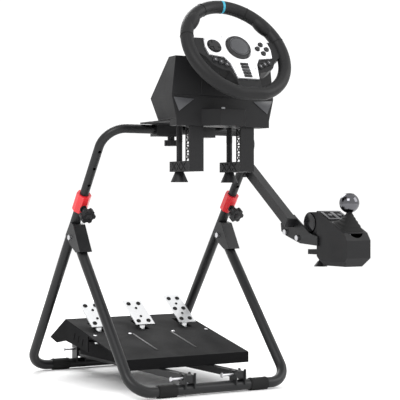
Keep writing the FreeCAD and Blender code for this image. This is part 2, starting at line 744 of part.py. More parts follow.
def make_clamps():
    """Ribbed arms under the housing, whose feet carry the screws that grip the deck."""
    low = DECK_TOP - v.chin_drop - v.clamp_drop
    back = -v.clamp_front
    pieces = []
    holes = []
    for side in SIDES:
        x = side * v.clamp_x
        pieces.append(box("clamp_arm_w", "clamp_arm_t", "clamp_drop", (x - v.clamp_arm_w / 2, back, low)))
        pieces.append(box("clamp_rib_t", "clamp_depth", "clamp_drop", (x - v.clamp_rib_t / 2, back, low)))
        for step in range(6):
            height = low + 2 + step * (v.clamp_drop - 6) / 5
            pieces.append(box("clamp_arm_w - 4", "clamp_depth", "2.5", (x - v.clamp_arm_w / 2 + 2, back, height)))
        pieces.append(box("clamp_foot_w", "clamp_front - screw_y + clamp_foot_w / 2", "clamp_foot_t",
                          (x - v.clamp_foot_w / 2, back, low)))
        holes.append(rod("screw_d + 2 * bolt_gap", "clamp_drop", (x, -v.screw_y, low)))
    node("clamp_arms", cut(fuse(*pieces), *holes))
    sizes = ("pad_d", "pad_t", "screw_d", "clamp_knob_d", "clamp_knob_t")
    for side in SIDES:
        name = SIDE_NAMES[side]
        spot = (side * v.clamp_x, -v.screw_y, DECK_LOW - v.running_gap)
        pad_and_screw((f"clamp_pad_{name}", f"clamp_screw_{name}"), sizes, spot, low - v.running_gap)


def make_bearings():
    rings = []
    for depth in (-v.nose_top - 50, -v.nose_top - v.bearing_t):
        outer = rod("bearing_d", "bearing_t", (0, 0, depth))
        inner = rod("shaft_d + 2 * bolt_gap", "bearing_t", (0, 0, depth))
        rings.append(cut(outer, inner))
    node("shaft_bearings", fuse(*rings), WHEEL)


# ---------------------------------------------------------------- steering wheel

def rim_shape():
    """The grip tube swept round a circle with a short blended flat at the bottom."""
    radius, flat, blend = v.rim_radius, v.rim_flat, v.rim_blend
    centre_y = blend - flat
    centre_x = math.sqrt((radius - blend) ** 2 - centre_y ** 2)
    touch = math.atan2(centre_y, centre_x)
    right = FreeCAD.Vector(centre_x, centre_y, 0)
    left = FreeCAD.Vector(-centre_x, centre_y, 0)
    turn = Z_AXIS
    big = Part.ArcOfCircle(Part.Circle(FreeCAD.Vector(), turn, radius), touch, math.pi - touch)
    left_blend = Part.ArcOfCircle(Part.Circle(left, turn, blend), math.pi - touch, 1.5 * math.pi)
    bottom = Part.LineSegment(FreeCAD.Vector(-centre_x, -flat, 0), FreeCAD.Vector(centre_x, -flat, 0))
    right_blend = Part.ArcOfCircle(Part.Circle(right, turn, blend), -math.pi / 2, touch)
    path = Part.Wire([edge.toShape() for edge in (big, left_blend, bottom, right_blend)])
    start = big.StartPoint
    heading = FreeCAD.Vector(-math.sin(touch), math.cos(touch), 0)
    ring = Part.Wire([Part.Circle(start, heading, v.grip_d / 2).toShape()])
    return path.makePipeShell([ring], True, False)


def wheel_shape(corners, thickness, depth):
    return put(prism(corners, thickness), 0, 0, depth)


def make_rim():
    node("wheel_rim", scripted(rim_shape()), WHEEL)


FACE_SPOTS = {"top": (0, 1), "bottom": (0, -1), "left": (-1, 0), "right": (1, 0)}
POD_SPOTS = [(45.0, -49.0), (58.0, -42.5), (71.5, -37.0)]


def control_holes(depth):
    """Round openings for the pad, the four face buttons and the pod keys, and slots for the menu keys."""
    holes = [rod("dpad_d + 4 * key_gap", "60", (-v.dpad_x, 0, depth))]
    for across, up in FACE_SPOTS.values():
        spot = (v.face_x + across * v.face_pitch, up * v.face_pitch, depth)
        holes.append(rod("face_d + 2 * key_gap", "60", spot))
    for side in SIDES:
        for across, up in POD_SPOTS:
            holes.append(rod("pod_key_d + 2 * key_gap", "60", (side * across, up, depth)))
    for index in range(5):
        low = -v.menu_top - index * v.menu_pitch - v.menu_h
        holes.append(box("menu_w + 2 * key_gap", "menu_h + 2 * key_gap", "60",
                         (-v.menu_w / 2 - v.key_gap, low - v.key_gap, depth)))
    return holes


def paddle_hinge(side, back):
    """Two lugs behind the casing with the pin a shift paddle turns on."""
    x = side * v.paddle_x
    reach = v.paddle_h + 7
    lugs = [rod("paddle_pin_d", f"{reach}", (x, -reach / 2, back - v.paddle_drop), Y_AXIS)]
    for end in SIDES:
        y = end * (reach / 2 - 1.5) - 1.5
        lugs.append(box("8", "3", "paddle_drop + 4", (x - 4, y, back - v.paddle_drop - 4)))
    return fuse(*lugs)


def make_wheel_body():
    back = v.plate_front - v.plate_t - v.casing_depth
    floor = v.plate_front - v.plate_t - v.cap_depth - v.key_travel - 2
    plate = wheel_shape(mirrored([
        ("0", "39"), ("34", "36"), ("62", "27"), ("arm_end_x", "23"), ("arm_end_x + 4", "0"),
        ("arm_end_x", "-24"), ("46", "-29"), ("35", "-46"), ("28", "-spoke_foot"),
    ]), "plate_t", v.plate_front - v.plate_t)
    hub_seat = rod("hub_d - 16", "plate_t", (0, 0, v.plate_front - v.plate_t))
    node("spoke_plate", cut(plate, hub_seat, *control_holes(floor)), WHEEL)

    casing = wheel_shape(mirrored([
        ("0", "37"), ("33", "34"), ("61", "25"), ("rim_radius - 9", "24"), ("rim_radius - 8", "-12"),
        ("arm_end_x + 8", "-30"), ("arm_end_x - 4", "-50"), ("62", "-61"), ("40", "-66"), ("32", "-spoke_foot"),
        ("30", "-rim_flat + grip_d / 3"),
    ]), "casing_depth", back)
    boss = cone("boss_d * 0.8", "boss_d", "boss_length", (0, 0, back - v.boss_length))
    hinges = [paddle_hinge(side, back) for side in SIDES]
    grip = scripted(rim_shape())
    shaft_hole = rod("shaft_d", "60", (0, 0, back - v.boss_length))
    hub_stem = rod("hub_d - 16", "10", (0, 0, v.plate_front - v.plate_t - 6))
    node("wheel_casing", cut(fuse(casing, boss, *hinges), grip, shaft_hole, hub_stem, *control_holes(floor)), WHEEL)

    dish = cone("hub_d", "hub_d * 0.9", "hub_t", (0, 0, v.plate_front))
    stem = rod("hub_d - 16", "plate_t + 6", (0, 0, v.plate_front - v.plate_t - 6))
    node("hub_cap", fuse(dish, stem), WHEEL)
    node("steering_shaft", rod("shaft_d", "shaft_length", (0, 0, v.plate_front - v.plate_t - 6.5 - v.shaft_length)),
         WHEEL)


def make_wheel_controls():
    low = v.plate_front - v.plate_t - v.cap_depth
    cap = "cap_depth + plate_t + cap_rise"
    pad = rod("dpad_d", cap, (-v.dpad_x, 0, low))
    cross = fuse(
        box("dpad_d * 0.9", "dpad_d * 0.3", "1.6", (-v.dpad_x - v.dpad_d * 0.45, -v.dpad_d * 0.15, v.plate_front + v.cap_rise)),
        box("dpad_d * 0.3", "dpad_d * 0.9", "1.6", (-v.dpad_x - v.dpad_d * 0.15, -v.dpad_d * 0.45, v.plate_front + v.cap_rise)))
    node("direction_pad", fuse(pad, common(cross, rod("dpad_d", "60", (-v.dpad_x, 0, 0)))), WHEEL)
    for name, (across, up) in FACE_SPOTS.items():
        spot = (v.face_x + across * v.face_pitch, up * v.face_pitch, low)
        node(f"face_button_{name}", rod("face_d", cap, spot), WHEEL)
    for side in SIDES:
        for index, (across, up) in enumerate(POD_SPOTS, 1):
            key = rod("pod_key_d", "cap_depth + cap_rise", (side * across, up, low))
            node(f"pod_key_{SIDE_NAMES[side]}_{index}", key, WHEEL)
    for index in range(5):
        bottom = -v.menu_top - index * v.menu_pitch - v.menu_h
        key = box("menu_w", "menu_h", "cap_depth + plate_t + cap_rise / 2", (-v.menu_w / 2, bottom, low))
        node(f"menu_key_{index + 1}", key, WHEEL)


def make_paddles():
    axis_z = v.plate_front - v.plate_t - v.casing_depth - v.paddle_drop
    for side in SIDES:
        x = side * v.paddle_x
        blade = wheel_shape([
            (f"{side} * paddle_x", "paddle_h / 2"), (f"{side} * (paddle_x + paddle_length)", "paddle_h / 3"),
            (f"{side} * (paddle_x + paddle_length - 8)", "-paddle_h / 2"), (f"{side} * paddle_x", "-paddle_h / 2"),
        ], "paddle_t", axis_z - v.paddle_t / 2)
        barrel = rod("paddle_barrel_d", "paddle_h", (x, -v.paddle_h / 2, axis_z), Y_AXIS)
        bore = rod("paddle_pin_d + 2 * bolt_gap", "paddle_h", (x, -v.paddle_h / 2, axis_z), Y_AXIS)
        node(f"paddle_{SIDE_NAMES[side]}", cut(fuse(blade, barrel), bore), WHEEL)


# ---------------------------------------------------------------- pedals on their rack

def make_rack():
    """Two rails across the floor bars and the pins they hang on; the far pins are the rack's pivot."""
    near, far = -v.foot_spread / 2, v.foot_spread / 2
    spots = [(near, v.rail_z), (far, v.far_pin_z)]
    rails, pins = [], []
    for side in SIDES:
        x = side * v.rail_x - v.rail_w / 2
        low = v.rail_z - v.rail_t / 2
        run = box("rail_w", "foot_spread + ear_w * 0.8", "rail_t", (x, near - v.ear_w * 0.4, low))
        riser = box("rail_w", "ear_w * 0.8", f"{v.far_pin_z + 8 - low}", (x, far - v.ear_w * 0.4, low))
        seats = [rod("pin_d", "rail_w", (x, y, z), X_AXIS) for y, z in spots]
        rails.append(cut(fuse(run, riser), *seats))
        for y, z in spots:
            start = x + v.rail_w + v.ear_t + 3 - v.pin_length
            pins.append(fuse(rod("pin_d", "pin_length", (start, y, z), X_AXIS),
                             hexagon("pin_d * 1.9", "3", (start - 3, y, z), X_AXIS)))
    node("rack_rails", fuse(*rails))
    node("rack_pins", fuse(*pins))


def plate_height(y):
    """Height of the pedal plate's top at a place along Y."""
    slope = (v.pedal_far_z - v.pedal_near_z) / (v.pedal_far + v.pedal_near)
    return v.pedal_near_z + (y + v.pedal_near) * slope


def make_pedal_base():
    """The sloped foot plate with its turned-down sides, tail cover and the box that rests on the rails."""
    half = v.pedal_width / 2
    rail_top = v.rail_z + v.rail_t / 2
    top = [("-pedal_near", "pedal_near_z"), ("pedal_far", "pedal_far_z"), ("pedal_tail", "pedal_tail_z"),
           ("pedal_tail", "pedal_tail_z - pedal_sheet"), ("pedal_far", "pedal_far_z - pedal_sheet"),
           ("-pedal_near + pedal_sheet", "pedal_near_z - pedal_sheet"),
           ("-pedal_near + pedal_sheet", "pedal_near_z - pedal_flange"),
           ("-pedal_near", "pedal_near_z - pedal_flange")]
    cover = side_prism(top, "pedal_width", -half)
    wall = [("pedal_far", "pedal_far_z - 1"), ("pedal_tail - 1", "pedal_tail_z - 1"), ("pedal_tail - 40", "pedal_tail_z - 12"),
            ("pedal_far", "pedal_far_z - 56"), ("18", "76"), ("18", f"{plate_height(18) - 1}")]
    cheeks = [side_prism(wall, "pedal_sheet", -half), side_prism(wall, "pedal_sheet", half - v.pedal_sheet)]
    slots = []
    for step in range(3):
        y = 98 - 24 * step
        slots.append(side_prism([(f"{y}", f"{plate_height(y) - 38}"), (f"{y + 4}", f"{plate_height(y) - 38}"),
                                 (f"{y - 3}", f"{plate_height(y) - 20}"), (f"{y - 7}", f"{plate_height(y) - 20}")],
                                "stand_width", -v.stand_width / 2))
    frame = [("-120", f"{rail_top}"), ("200", f"{rail_top}"), ("200", f"{plate_height(150) - 34}"),
             ("pedal_far", f"{plate_height(150) - 2}"), ("-120", f"{plate_height(-120) - 2}")]
    walls = []
    for side in SIDES:
        walls.append(side_prism(frame, "pedal_sheet", side * v.box_half - v.pedal_sheet / 2))
    for side in (-0.5, 0.5):
        walls.append(side_prism(frame, "pedal_sheet", side * v.pedal_pitch - v.pedal_sheet / 2))
    for y in (-120, 197):
        height = plate_height(y) - 2 - rail_top if y < 0 else plate_height(150) - 34 - rail_top
        walls.append(box("2 * box_half", "pedal_sheet", f"{height}", (-v.box_half, y, rail_top)))
    openings = []
    for index in (-1, 0, 1):
        openings.append(box("pedal_arm_w + 6", "74", "200", (index * v.pedal_pitch - v.pedal_arm_w / 2 - 3, 36, rail_top)))
    shaft = rod("pedal_shaft_d", "pedal_width", (-half, v.pedal_pivot_y, v.pedal_pivot_z), X_AXIS)
    node("pedal_base", fuse(cut(fuse(cover, *cheeks, *walls), *openings, *slots), shaft))


def pedal_face(width, length, rows):
    """A foot plate in its own frame: it lies along +Y, its top lip bent back, drilled for grip."""
    bend = math.radians(22)
    end_y, end_z = length + v.pedal_lip * math.cos(bend), -v.pedal_lip * math.sin(bend)
    sheet_y, sheet_z = v.pedal_t * math.sin(bend), v.pedal_t * math.cos(bend)
    outline = [("0", "0"), (f"{length}", "0"), (f"{end_y}", f"{end_z}"), (f"{end_y + sheet_y}", f"{end_z + sheet_z}"),
               (f"{length + v.pedal_t * math.tan(bend / 2)}", "pedal_t"), ("0", "pedal_t")]
    half = getattr(v, width) / 2
    holes = []
    for row in range(rows):
        up = 14 + row * (length - 28) / (rows - 1)
        for side in SIDES:
            holes.append(rod("grip_hole_d", "3 * pedal_t", (side * half * 0.53, up, -v.pedal_t)))
    for share in (0.26, 0.74):
        holes.append(rod("rivet_d", "3 * pedal_t", (0, 14 + (length - 28) * share, -v.pedal_t)))
    return cut(side_prism(outline, width, -half), *holes)


def make_pedal(name, x, width, extra, rows):
    """A bent aluminium foot plate on its arm, turning on the pedal shaft."""
    rake = math.radians(v.pedal_rake)
    turn = FreeCAD.Rotation(X_AXIS, v.pedal_rake)
    face = put(pedal_face(width, v.pedal_long + extra, rows), 0, v.pedal_foot_y, v.pedal_foot_z, turn)
    low_y, low_z = v.pedal_pivot_y, v.pedal_pivot_z
    back = [(v.pedal_foot_y + along * math.cos(rake), v.pedal_foot_z + along * math.sin(rake)) for along in (68, 22)]
    outline = [(low_y - 7, low_z), (low_y + 7, low_z - 2)] + back
    arm = side_prism([(f"{y}", f"{z}") for y, z in outline], "pedal_arm_w", -v.pedal_arm_w / 2)
    start = (-v.pedal_arm_w / 2, low_y, low_z)
    hub = rod("2.2 * pedal_shaft_d", "pedal_arm_w", start, X_AXIS)
    bore = rod("pedal_shaft_d + 2 * bolt_gap", "pedal_arm_w", start, X_AXIS)
    node(name, cut(fuse(face, arm, hub), bore), FreeCAD.Placement(FreeCAD.Vector(x, 0, 0), FreeCAD.Rotation()))


# ---------------------------------------------------------------- shifter on its side arm

def make_side_arm():
    """A square tube on the top hoop's right leg, ending in a web and the flange the shifter grips."""
    slope = math.radians(v.arm_slope)
    rise = v.arm_size / 2
    left = v.arm_x - rise
    right = v.arm_x + rise
    outer = box("arm_size", "arm_length", "arm_size", (0, 0, 0))
    inner = box("arm_size - 2 * arm_wall", "arm_length - 3", "arm_size - 2 * arm_wall", (v.arm_wall, -1, v.arm_wall))
    tube = put(cut(outer, inner), left, v.arm_top_y - rise * math.sin(slope), v.arm_top_z + rise * math.cos(slope),
               FreeCAD.Rotation(X_AXIS, 180 + v.arm_slope))
    web = side_prism([("-207", "396"), ("-210", "376"), ("-229", "366"), ("-291", "348"), ("-362", "344"),
                      ("-362", "366"), ("-330", "373"), ("-303", "391"), ("-262", "418")], "web_t", right)
    flange = box(f"{v.shifter_left + v.shifter_w - right}", "flange_near - flange_far", "flange_t",
                 (right, -v.flange_near, v.flange_z))
    leg_bolt = (ARM_BOLT[0], ARM_BOLT[1])
    web_bolts = [(-229, 374.5), (-281, 361)]
    holes = [rod("bolt_d", "60", (left - 10, y, z), X_AXIS) for y, z in [leg_bolt] + web_bolts]
    node("side_arm", cut(fuse(tube, web, flange), *holes))
    inside = v.stand_width / 2 - v.top_tube_d / 2
    bolts = [through_bolt("bolt_d", "bolt_head_d", "bolt_head_t", right - inside, (inside, *leg_bolt))]
    for spot in web_bolts:
        bolts.append(through_bolt("bolt_d", "bolt_head_d", "bolt_head_t", v.web_t, (right, *spot)))
    node("arm_bolts", fuse(*bolts))


def shifter_top(y):
    """Height of the shifter's sloping top at a distance in front of the stand's middle."""
    slope = (v.shifter_far_z - v.shifter_near_z) / (v.shifter_near - v.shifter_far)
    return v.shifter_far_z - (y - v.shifter_far) * slope


def make_shifter():
    """A hollow box with a sloping top, the jaws behind it and the shift lever on its gimbal."""
    x = v.shifter_left + v.shifter_w / 2
    outline = [("-shifter_far", "shifter_low + 22"), ("-shifter_far", "shifter_far_z"),
               ("-shifter_near + 12", f"{shifter_top(v.shifter_near - 12)}"), ("-shifter_near", "shifter_near_z - 12"),
               ("-shifter_near", "shifter_low + 20"), ("-shifter_near + 14", "shifter_low"),
               ("-shifter_far - 26", "shifter_low")]
    front = prism([("shifter_left + 8", "shifter_low"), ("shifter_left", "shifter_low + 12"),
                   ("shifter_left", "shifter_far_z + 9"), ("shifter_left + shifter_w - 8", "shifter_far_z + 9"),
                   ("shifter_left + shifter_w", "shifter_far_z - 14"), ("shifter_left + shifter_w", "shifter_low + 20"),
                   ("shifter_left + shifter_w - 14", "shifter_low")], "shifter_near")
    put(front, 0, 0, 0, FreeCAD.Rotation(X_AXIS, 90))
    box_shape = common(side_prism(outline, "shifter_w", v.shifter_left), front)
    cavity_outline = [("-shifter_back", "shifter_low + 8 * shifter_wall"),
                      ("-shifter_back", f"{shifter_top(v.shifter_back)} - shifter_wall"),
                      ("-shifter_near + 13", f"{shifter_top(v.shifter_near - 13)} - shifter_wall"),
                      ("-shifter_near + shifter_wall", "shifter_near_z - 16"),
                      ("-shifter_near + shifter_wall", "shifter_low + 8 * shifter_wall")]
    cavity = side_prism(cavity_outline, "shifter_w - 2 * shifter_wall", v.shifter_left + v.shifter_wall)
    mouth = rod("boot_hole_d", "60", (x, -v.lever_y, v.shifter_near_z - 10))
    seat_length = v.shifter_near - v.shifter_back + 1
    trunnion_seat = rod("trunnion_d + 2 * bolt_gap", f"{seat_length}", (x, -v.shifter_near + 1, v.lever_pivot_z), Y_AXIS)
    jaws = []
    for low, thickness in ((v.flange_z + v.flange_t, "jaw_t"), (v.lower_jaw_z, "lower_jaw_t")):
        jaws.append(box("jaw_w", "jaw_reach", thickness, (x - v.jaw_w / 2, -v.shifter_far, low)))
    screw_hole = rod("jaw_screw_d + 2 * bolt_gap", "lower_jaw_t", (x, -v.jaw_screw_y, v.lower_jaw_z))
    keys = make_shift_keys(x)
    node("shifter_shell", cut(fuse(box_shape, *jaws), cavity, mouth, trunnion_seat, screw_hole, *keys))
    sizes = ("jaw_pad_d", "jaw_pad_t", "jaw_screw_d", "jaw_knob_d", "jaw_knob_t")
    pad_and_screw(("shifter_pad", "shifter_screw"), sizes,
                  (x, -v.jaw_screw_y, v.flange_z - v.running_gap), v.jaw_knob_z + v.jaw_knob_t)


def make_shift_keys(x):
    """Two round keys across the far end of the sloping top; returns the pockets they sit in."""
    rise = v.shifter_far_z - v.shifter_near_z
    run = v.shifter_near - v.shifter_far
    normal = FreeCAD.Vector(0, -rise, run).normalize()
    y = (v.shifter_far + v.shifter_back) / 2
    pockets = []
    for side in SIDES:
        surface = FreeCAD.Vector(x + side * 14, -y, shifter_top(y))
        deep = surface - normal * 8
        pockets.append(rod("shift_key_d + 2 * key_gap", "20", tuple(deep), normal))
        resting = deep + normal * (v.key_travel + v.key_gap)
        node(f"shift_key_{SIDE_NAMES[side]}", rod("shift_key_d", "8 + cap_rise / 2", tuple(resting), normal))
    return pockets


def make_lever():
    x = v.shifter_left + v.shifter_w / 2
    y, z = -v.lever_y, v.lever_pivot_z
    length = v.shifter_near - v.shifter_back + 1 - 2 * v.running_gap
    trunnion = rod("trunnion_d", f"{length}", (x, -v.shifter_near + 1 + v.running_gap, z), Y_AXIS)
    frame = box("gimbal_w", "gimbal_w", "gimbal_t", (x - v.gimbal_w / 2, y - v.gimbal_w / 2, z - v.gimbal_t / 2))
    window = box("gimbal_hole", "gimbal_hole", "gimbal_t",
                 (x - v.gimbal_hole / 2, y - v.gimbal_hole / 2, z - v.gimbal_t / 2))
    pin_hole = rod("trunnion_d + 2 * bolt_gap", "gimbal_w", (x - v.gimbal_w / 2, y, z), X_AXIS)
    node("shifter_gimbal", cut(fuse(trunnion, frame), window, pin_hole))
    cross = rod("trunnion_d", "gimbal_w - 2", (x - v.gimbal_w / 2 + 1, y, z), X_AXIS)
    stick = rod("lever_d", "ball_z - lever_pivot_z + lever_d", (x, y, z - v.lever_d))
    node("shift_lever", fuse(cross, stick, ball("ball_d", (x, y, v.ball_z))))
    cover = cone("boot_foot_d", "boot_top_d", "boot_top_z - boot_low_z", (x, y, v.boot_low_z))
    node("shifter_boot", cut(cover, rod("lever_d", "boot_top_z - boot_low_z", (x, y, v.boot_low_z))))


# ---------------------------------------------------------------- build and export

make_front_frame()
make_hinge_channels()
make_hinge_bolts()
make_collars()
make_rear_frame()
make_top_hoop()
make_lock_knobs()
make_deck()
make_tilt_knob()
make_base()
make_clamps()
make_bearings()
make_rim()
make_wheel_body()
make_wheel_controls()
make_paddles()
make_rack()
make_pedal_base()
for index, (name, width, extra, rows) in enumerate([
        ("clutch_pedal", "pedal_face_w", 0.0, 2),
        ("brake_pedal", "pedal_face_w", 0.0, 2),
        ("throttle_pedal", "throttle_face_w", v.throttle_extra, 3)], -1):
    make_pedal(name, index * v.pedal_pitch, width, extra, rows)
make_side_arm()
make_shifter()
make_lever()
doc.recompute()

for item in doc.Objects:
    if {"Invalid", "Error"} & set(item.State):
        raise RuntimeError(f"{item.Label} did not compute: {item.State}")
os.makedirs("parts", exist_ok=True)
for item in nodes:
    if item.Shape.isNull() or not item.Shape.isValid():
        raise RuntimeError(f"{item.Label} has no valid shape")
    item.Shape.exportStep(f"parts/{item.Label}.step")
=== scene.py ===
"""A sim-racing rig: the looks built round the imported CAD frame."""

import json
import math

import bpy
from mathutils import Matrix, Vector


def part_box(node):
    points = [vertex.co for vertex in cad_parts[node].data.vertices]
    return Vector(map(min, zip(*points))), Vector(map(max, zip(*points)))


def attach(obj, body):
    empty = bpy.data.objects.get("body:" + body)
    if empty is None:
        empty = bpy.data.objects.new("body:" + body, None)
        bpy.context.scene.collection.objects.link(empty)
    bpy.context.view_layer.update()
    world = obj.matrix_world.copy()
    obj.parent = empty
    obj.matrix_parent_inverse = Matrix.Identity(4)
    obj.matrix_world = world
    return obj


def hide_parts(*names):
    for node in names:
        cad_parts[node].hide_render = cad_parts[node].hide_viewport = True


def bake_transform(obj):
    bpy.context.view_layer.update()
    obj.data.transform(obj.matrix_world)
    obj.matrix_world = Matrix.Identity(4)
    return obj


bl_info = {
    "name": "Driving Rig",
    "version": (1, 0, 0),
    "blender": (4, 5, 0),
    "location": "View3D > Sidebar > Driving Rig",
    "description": "Finishes and fine pieces for a wheel, pedals and shifter on a folding stand",
    "category": "Object",
}

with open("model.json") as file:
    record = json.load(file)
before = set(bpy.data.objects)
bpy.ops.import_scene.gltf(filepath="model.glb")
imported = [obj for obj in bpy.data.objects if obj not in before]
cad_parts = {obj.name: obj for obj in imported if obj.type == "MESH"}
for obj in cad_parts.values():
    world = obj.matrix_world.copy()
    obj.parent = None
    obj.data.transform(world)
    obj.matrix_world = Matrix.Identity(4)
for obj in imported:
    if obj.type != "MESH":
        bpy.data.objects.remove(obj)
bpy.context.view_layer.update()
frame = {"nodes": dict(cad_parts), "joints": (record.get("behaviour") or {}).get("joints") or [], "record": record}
JOINTS = {joint["name"]: joint for joint in frame["joints"]}


# ---------------------------------------------------------------- settings

class RigFinish(bpy.types.PropertyGroup):
    """Colours and surface sizes shared by the finishes."""
    powder: bpy.props.FloatVectorProperty(
        name="Powder coat", description="Colour of the coated tubes", subtype="COLOR", size=3,
        default=(0.0075, 0.0078, 0.0085))
    collar: bpy.props.FloatVectorProperty(
        name="Collars", description="Colour of the locking collars", subtype="COLOR", size=3,
        default=(0.62, 0.012, 0.02))
    plastic: bpy.props.FloatVectorProperty(
        name="Plastic", description="Colour of the moulded housings", subtype="COLOR", size=3,
        default=(0.0085, 0.0085, 0.0092))
    leather: bpy.props.FloatVectorProperty(
        name="Grip", description="Colour of the rim's covering", subtype="COLOR", size=3,
        default=(0.0095, 0.0095, 0.01))
    silver: bpy.props.FloatVectorProperty(
        name="Spokes", description="Colour of the spoke plate", subtype="COLOR", size=3,
        default=(0.86, 0.86, 0.875))
    marker: bpy.props.FloatVectorProperty(
        name="Centre mark", description="Colour of the band at the rim's top", subtype="COLOR", size=3,
        default=(0.02, 0.3, 0.42))
    edge: bpy.props.FloatProperty(
        name="Edge softening", description="Radius that edges catch the light with", subtype="DISTANCE",
        default=0.0012, min=0.0)


class RigDetail(bpy.types.PropertyGroup):
    """Sizes of the fine pieces."""
    mark_angle: bpy.props.FloatProperty(
        name="Centre mark", description="Half the angle that the centre band covers", subtype="ANGLE",
        default=math.radians(1.9))
    bulge: bpy.props.FloatProperty(
        name="Thumb rest", description="Radius of the thumb rests", subtype="DISTANCE", default=0.0165)
    stitch: bpy.props.FloatProperty(
        name="Stitch", description="Length of one stitch", subtype="DISTANCE", default=0.0042)
    rib: bpy.props.FloatProperty(
        name="Plate bead", description="Height of the beads on the foot plate", subtype="DISTANCE",
        default=0.0016)


class RigStage(bpy.types.PropertyGroup):
    """The studio round the rig."""
    floor: bpy.props.FloatProperty(
        name="Floor", description="Width of the floor", subtype="DISTANCE", default=40.0)
    camera_x: bpy.props.FloatProperty(name="Camera X", description="Camera place", subtype="DISTANCE",
                                      default=-1.5718)
    camera_y: bpy.props.FloatProperty(name="Camera Y", description="Camera place", subtype="DISTANCE",
                                      default=-2.8765)
    camera_z: bpy.props.FloatProperty(name="Camera Z", description="Camera height", subtype="DISTANCE",
                                      default=0.454)
    yaw: bpy.props.FloatProperty(name="Camera yaw", description="Turn from straight ahead", subtype="ANGLE",
                                 default=math.radians(-30.73))
    lens: bpy.props.FloatProperty(name="Lens", description="Focal length in millimetres", default=115.98)


# ---------------------------------------------------------------- frames taken from the CAD

def turned(axis_name, start=Vector((0, 0, 1))):
    """The rotation that takes one direction to a joint's axis."""
    return start.rotation_difference(Vector(JOINTS[axis_name]["axis"])).to_matrix().to_4x4()


WHEEL = Matrix.Translation(Vector(JOINTS["wheel_turn"]["pos_m"])) @ turned("wheel_turn")
HIGH_KEY = Vector(JOINTS["shift_key_press_left"]["axis"]) * -1
# the wheel, in its own frame: the rim's middle line, and the front faces of its plate and hub
RIM_R = 0.125
PLATE_FRONT = 0.009
HUB_FRONT = 0.014
KEYS_X = 0.064
FACE_PITCH = 0.0125
# the rig: its housing's front, its sliding arm's end, and the places its fine pieces are set out from
HOUSING_FRONT = -0.340
CLAMP_X = 0.069
SLEEVE_X = 0.125
ARM_SLOPE = math.radians(35.8)
ARM_END = Vector((0.2375, -0.2666, 0.3995))
PLATE_NEAR = Vector((0, -0.175, 0.076))
PLATE_FAR = Vector((0, 0.150, 0.148))
PEDAL_FOOT = Vector((0, 0.042, 0.133))
PEDAL_RAKE = math.radians(35)
PEDAL_SHEET = 0.003
PEDAL_PITCH = 0.125
DRUM_Y = -0.318
DRUM_Z = 0.398
DRUM_R = 0.027
DRUM_WIDTH = 0.060


# ---------------------------------------------------------------- modelling helpers

def clear_selection():
    if bpy.context.object and bpy.context.object.mode != "OBJECT":
        bpy.ops.object.mode_set(mode="OBJECT")
    bpy.ops.object.select_all(action="DESELECT")


def started(name):
    """Name the primitive that was just added."""
    piece = bpy.context.object
    piece.name = name
    piece.data.name = name
    return piece


def block(name, size, place, turn=(0, 0, 0)):
    clear_selection()
    bpy.ops.mesh.primitive_cube_add(size=1, location=place, rotation=turn)
    piece = started(name)
    piece.scale = size
    bpy.ops.object.transform_apply(location=True, rotation=True, scale=True)
    return piece


def disc(name, radius, depth, place, turn=(0, 0, 0), sides=48):
    clear_selection()
    bpy.ops.mesh.primitive_cylinder_add(vertices=sides, radius=radius, depth=depth, location=place,
                                        rotation=turn)
    piece = started(name)
    bpy.ops.object.transform_apply(location=True, rotation=True, scale=True)
    return piece


def ring(name, major, minor, place, turn=(0, 0, 0), around=96, section=16):
    clear_selection()
    bpy.ops.mesh.primitive_torus_add(major_radius=major, minor_radius=minor, major_segments=around,
                                     minor_segments=section, location=place, rotation=turn)
    piece = started(name)
    bpy.ops.object.transform_apply(location=True, rotation=True, scale=True)
    return piece


def pebble(name, size, place, turn=(0, 0, 0)):
    clear_selection()
    bpy.ops.mesh.primitive_uv_sphere_add(segments=40, ring_count=24, radius=1, location=place, rotation=turn)
    piece = started(name)
    piece.scale = size
    bpy.ops.object.transform_apply(location=True, rotation=True, scale=True)
    return piece


def soften(piece, width, segments=3):
    """Round a piece's edges and settle its normals."""
    clear_selection()
    piece.select_set(True)
    bpy.context.view_layer.objects.active = piece
    modifier = piece.modifiers.new("Round", "BEVEL")
    modifier.width = width
    modifier.segments = segments
    modifier.limit_method = "ANGLE"
    bpy.ops.object.modifier_apply(modifier=modifier.name)
    settle(piece)
    return piece


def settle(piece):
    clear_selection()
    piece.select_set(True)
    bpy.context.view_layer.objects.active = piece
    bpy.ops.object.mode_set(mode="EDIT")
    bpy.ops.mesh.select_all(action="SELECT")
    bpy.ops.mesh.normals_make_consistent(inside=False)
    bpy.ops.object.mode_set(mode="OBJECT")
    bpy.ops.object.shade_smooth_by_angle(angle=math.radians(35))
    return piece


def joined(pieces, name):
    clear_selection()
    for piece in pieces:
        piece.select_set(True)
    bpy.context.view_layer.objects.active = pieces[0]
    if len(pieces) > 1:
        bpy.ops.object.join()
    return started(name)


def drop_faces(piece, unwanted):
    """Delete the faces whose middle passes a test."""
    clear_selection()
    piece.select_set(True)
    bpy.context.view_layer.objects.active = piece
    bpy.ops.object.mode_set(mode="EDIT")
    bpy.ops.mesh.select_mode(type="FACE")
    bpy.ops.mesh.select_all(action="DESELECT")
    bpy.ops.object.mode_set(mode="OBJECT")
    for face in piece.data.polygons:
        face.select = unwanted(face.center)
    bpy.ops.object.mode_set(mode="EDIT")
    bpy.ops.mesh.delete(type="FACE")
    bpy.ops.object.mode_set(mode="OBJECT")
    return piece


def moved(piece, matrix):
    """Carry a piece from its own frame to the rig's, in its mesh."""
    piece.data.transform(matrix)
    piece.data.update()
    return piece


def fitted(piece, body, finish):
    """Give a finished piece its surface and the body that carries it."""
    piece.data.materials.clear()
    piece.data.materials.append(finish)
    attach(piece, body)
    return piece


# ---------------------------------------------------------------- finishes

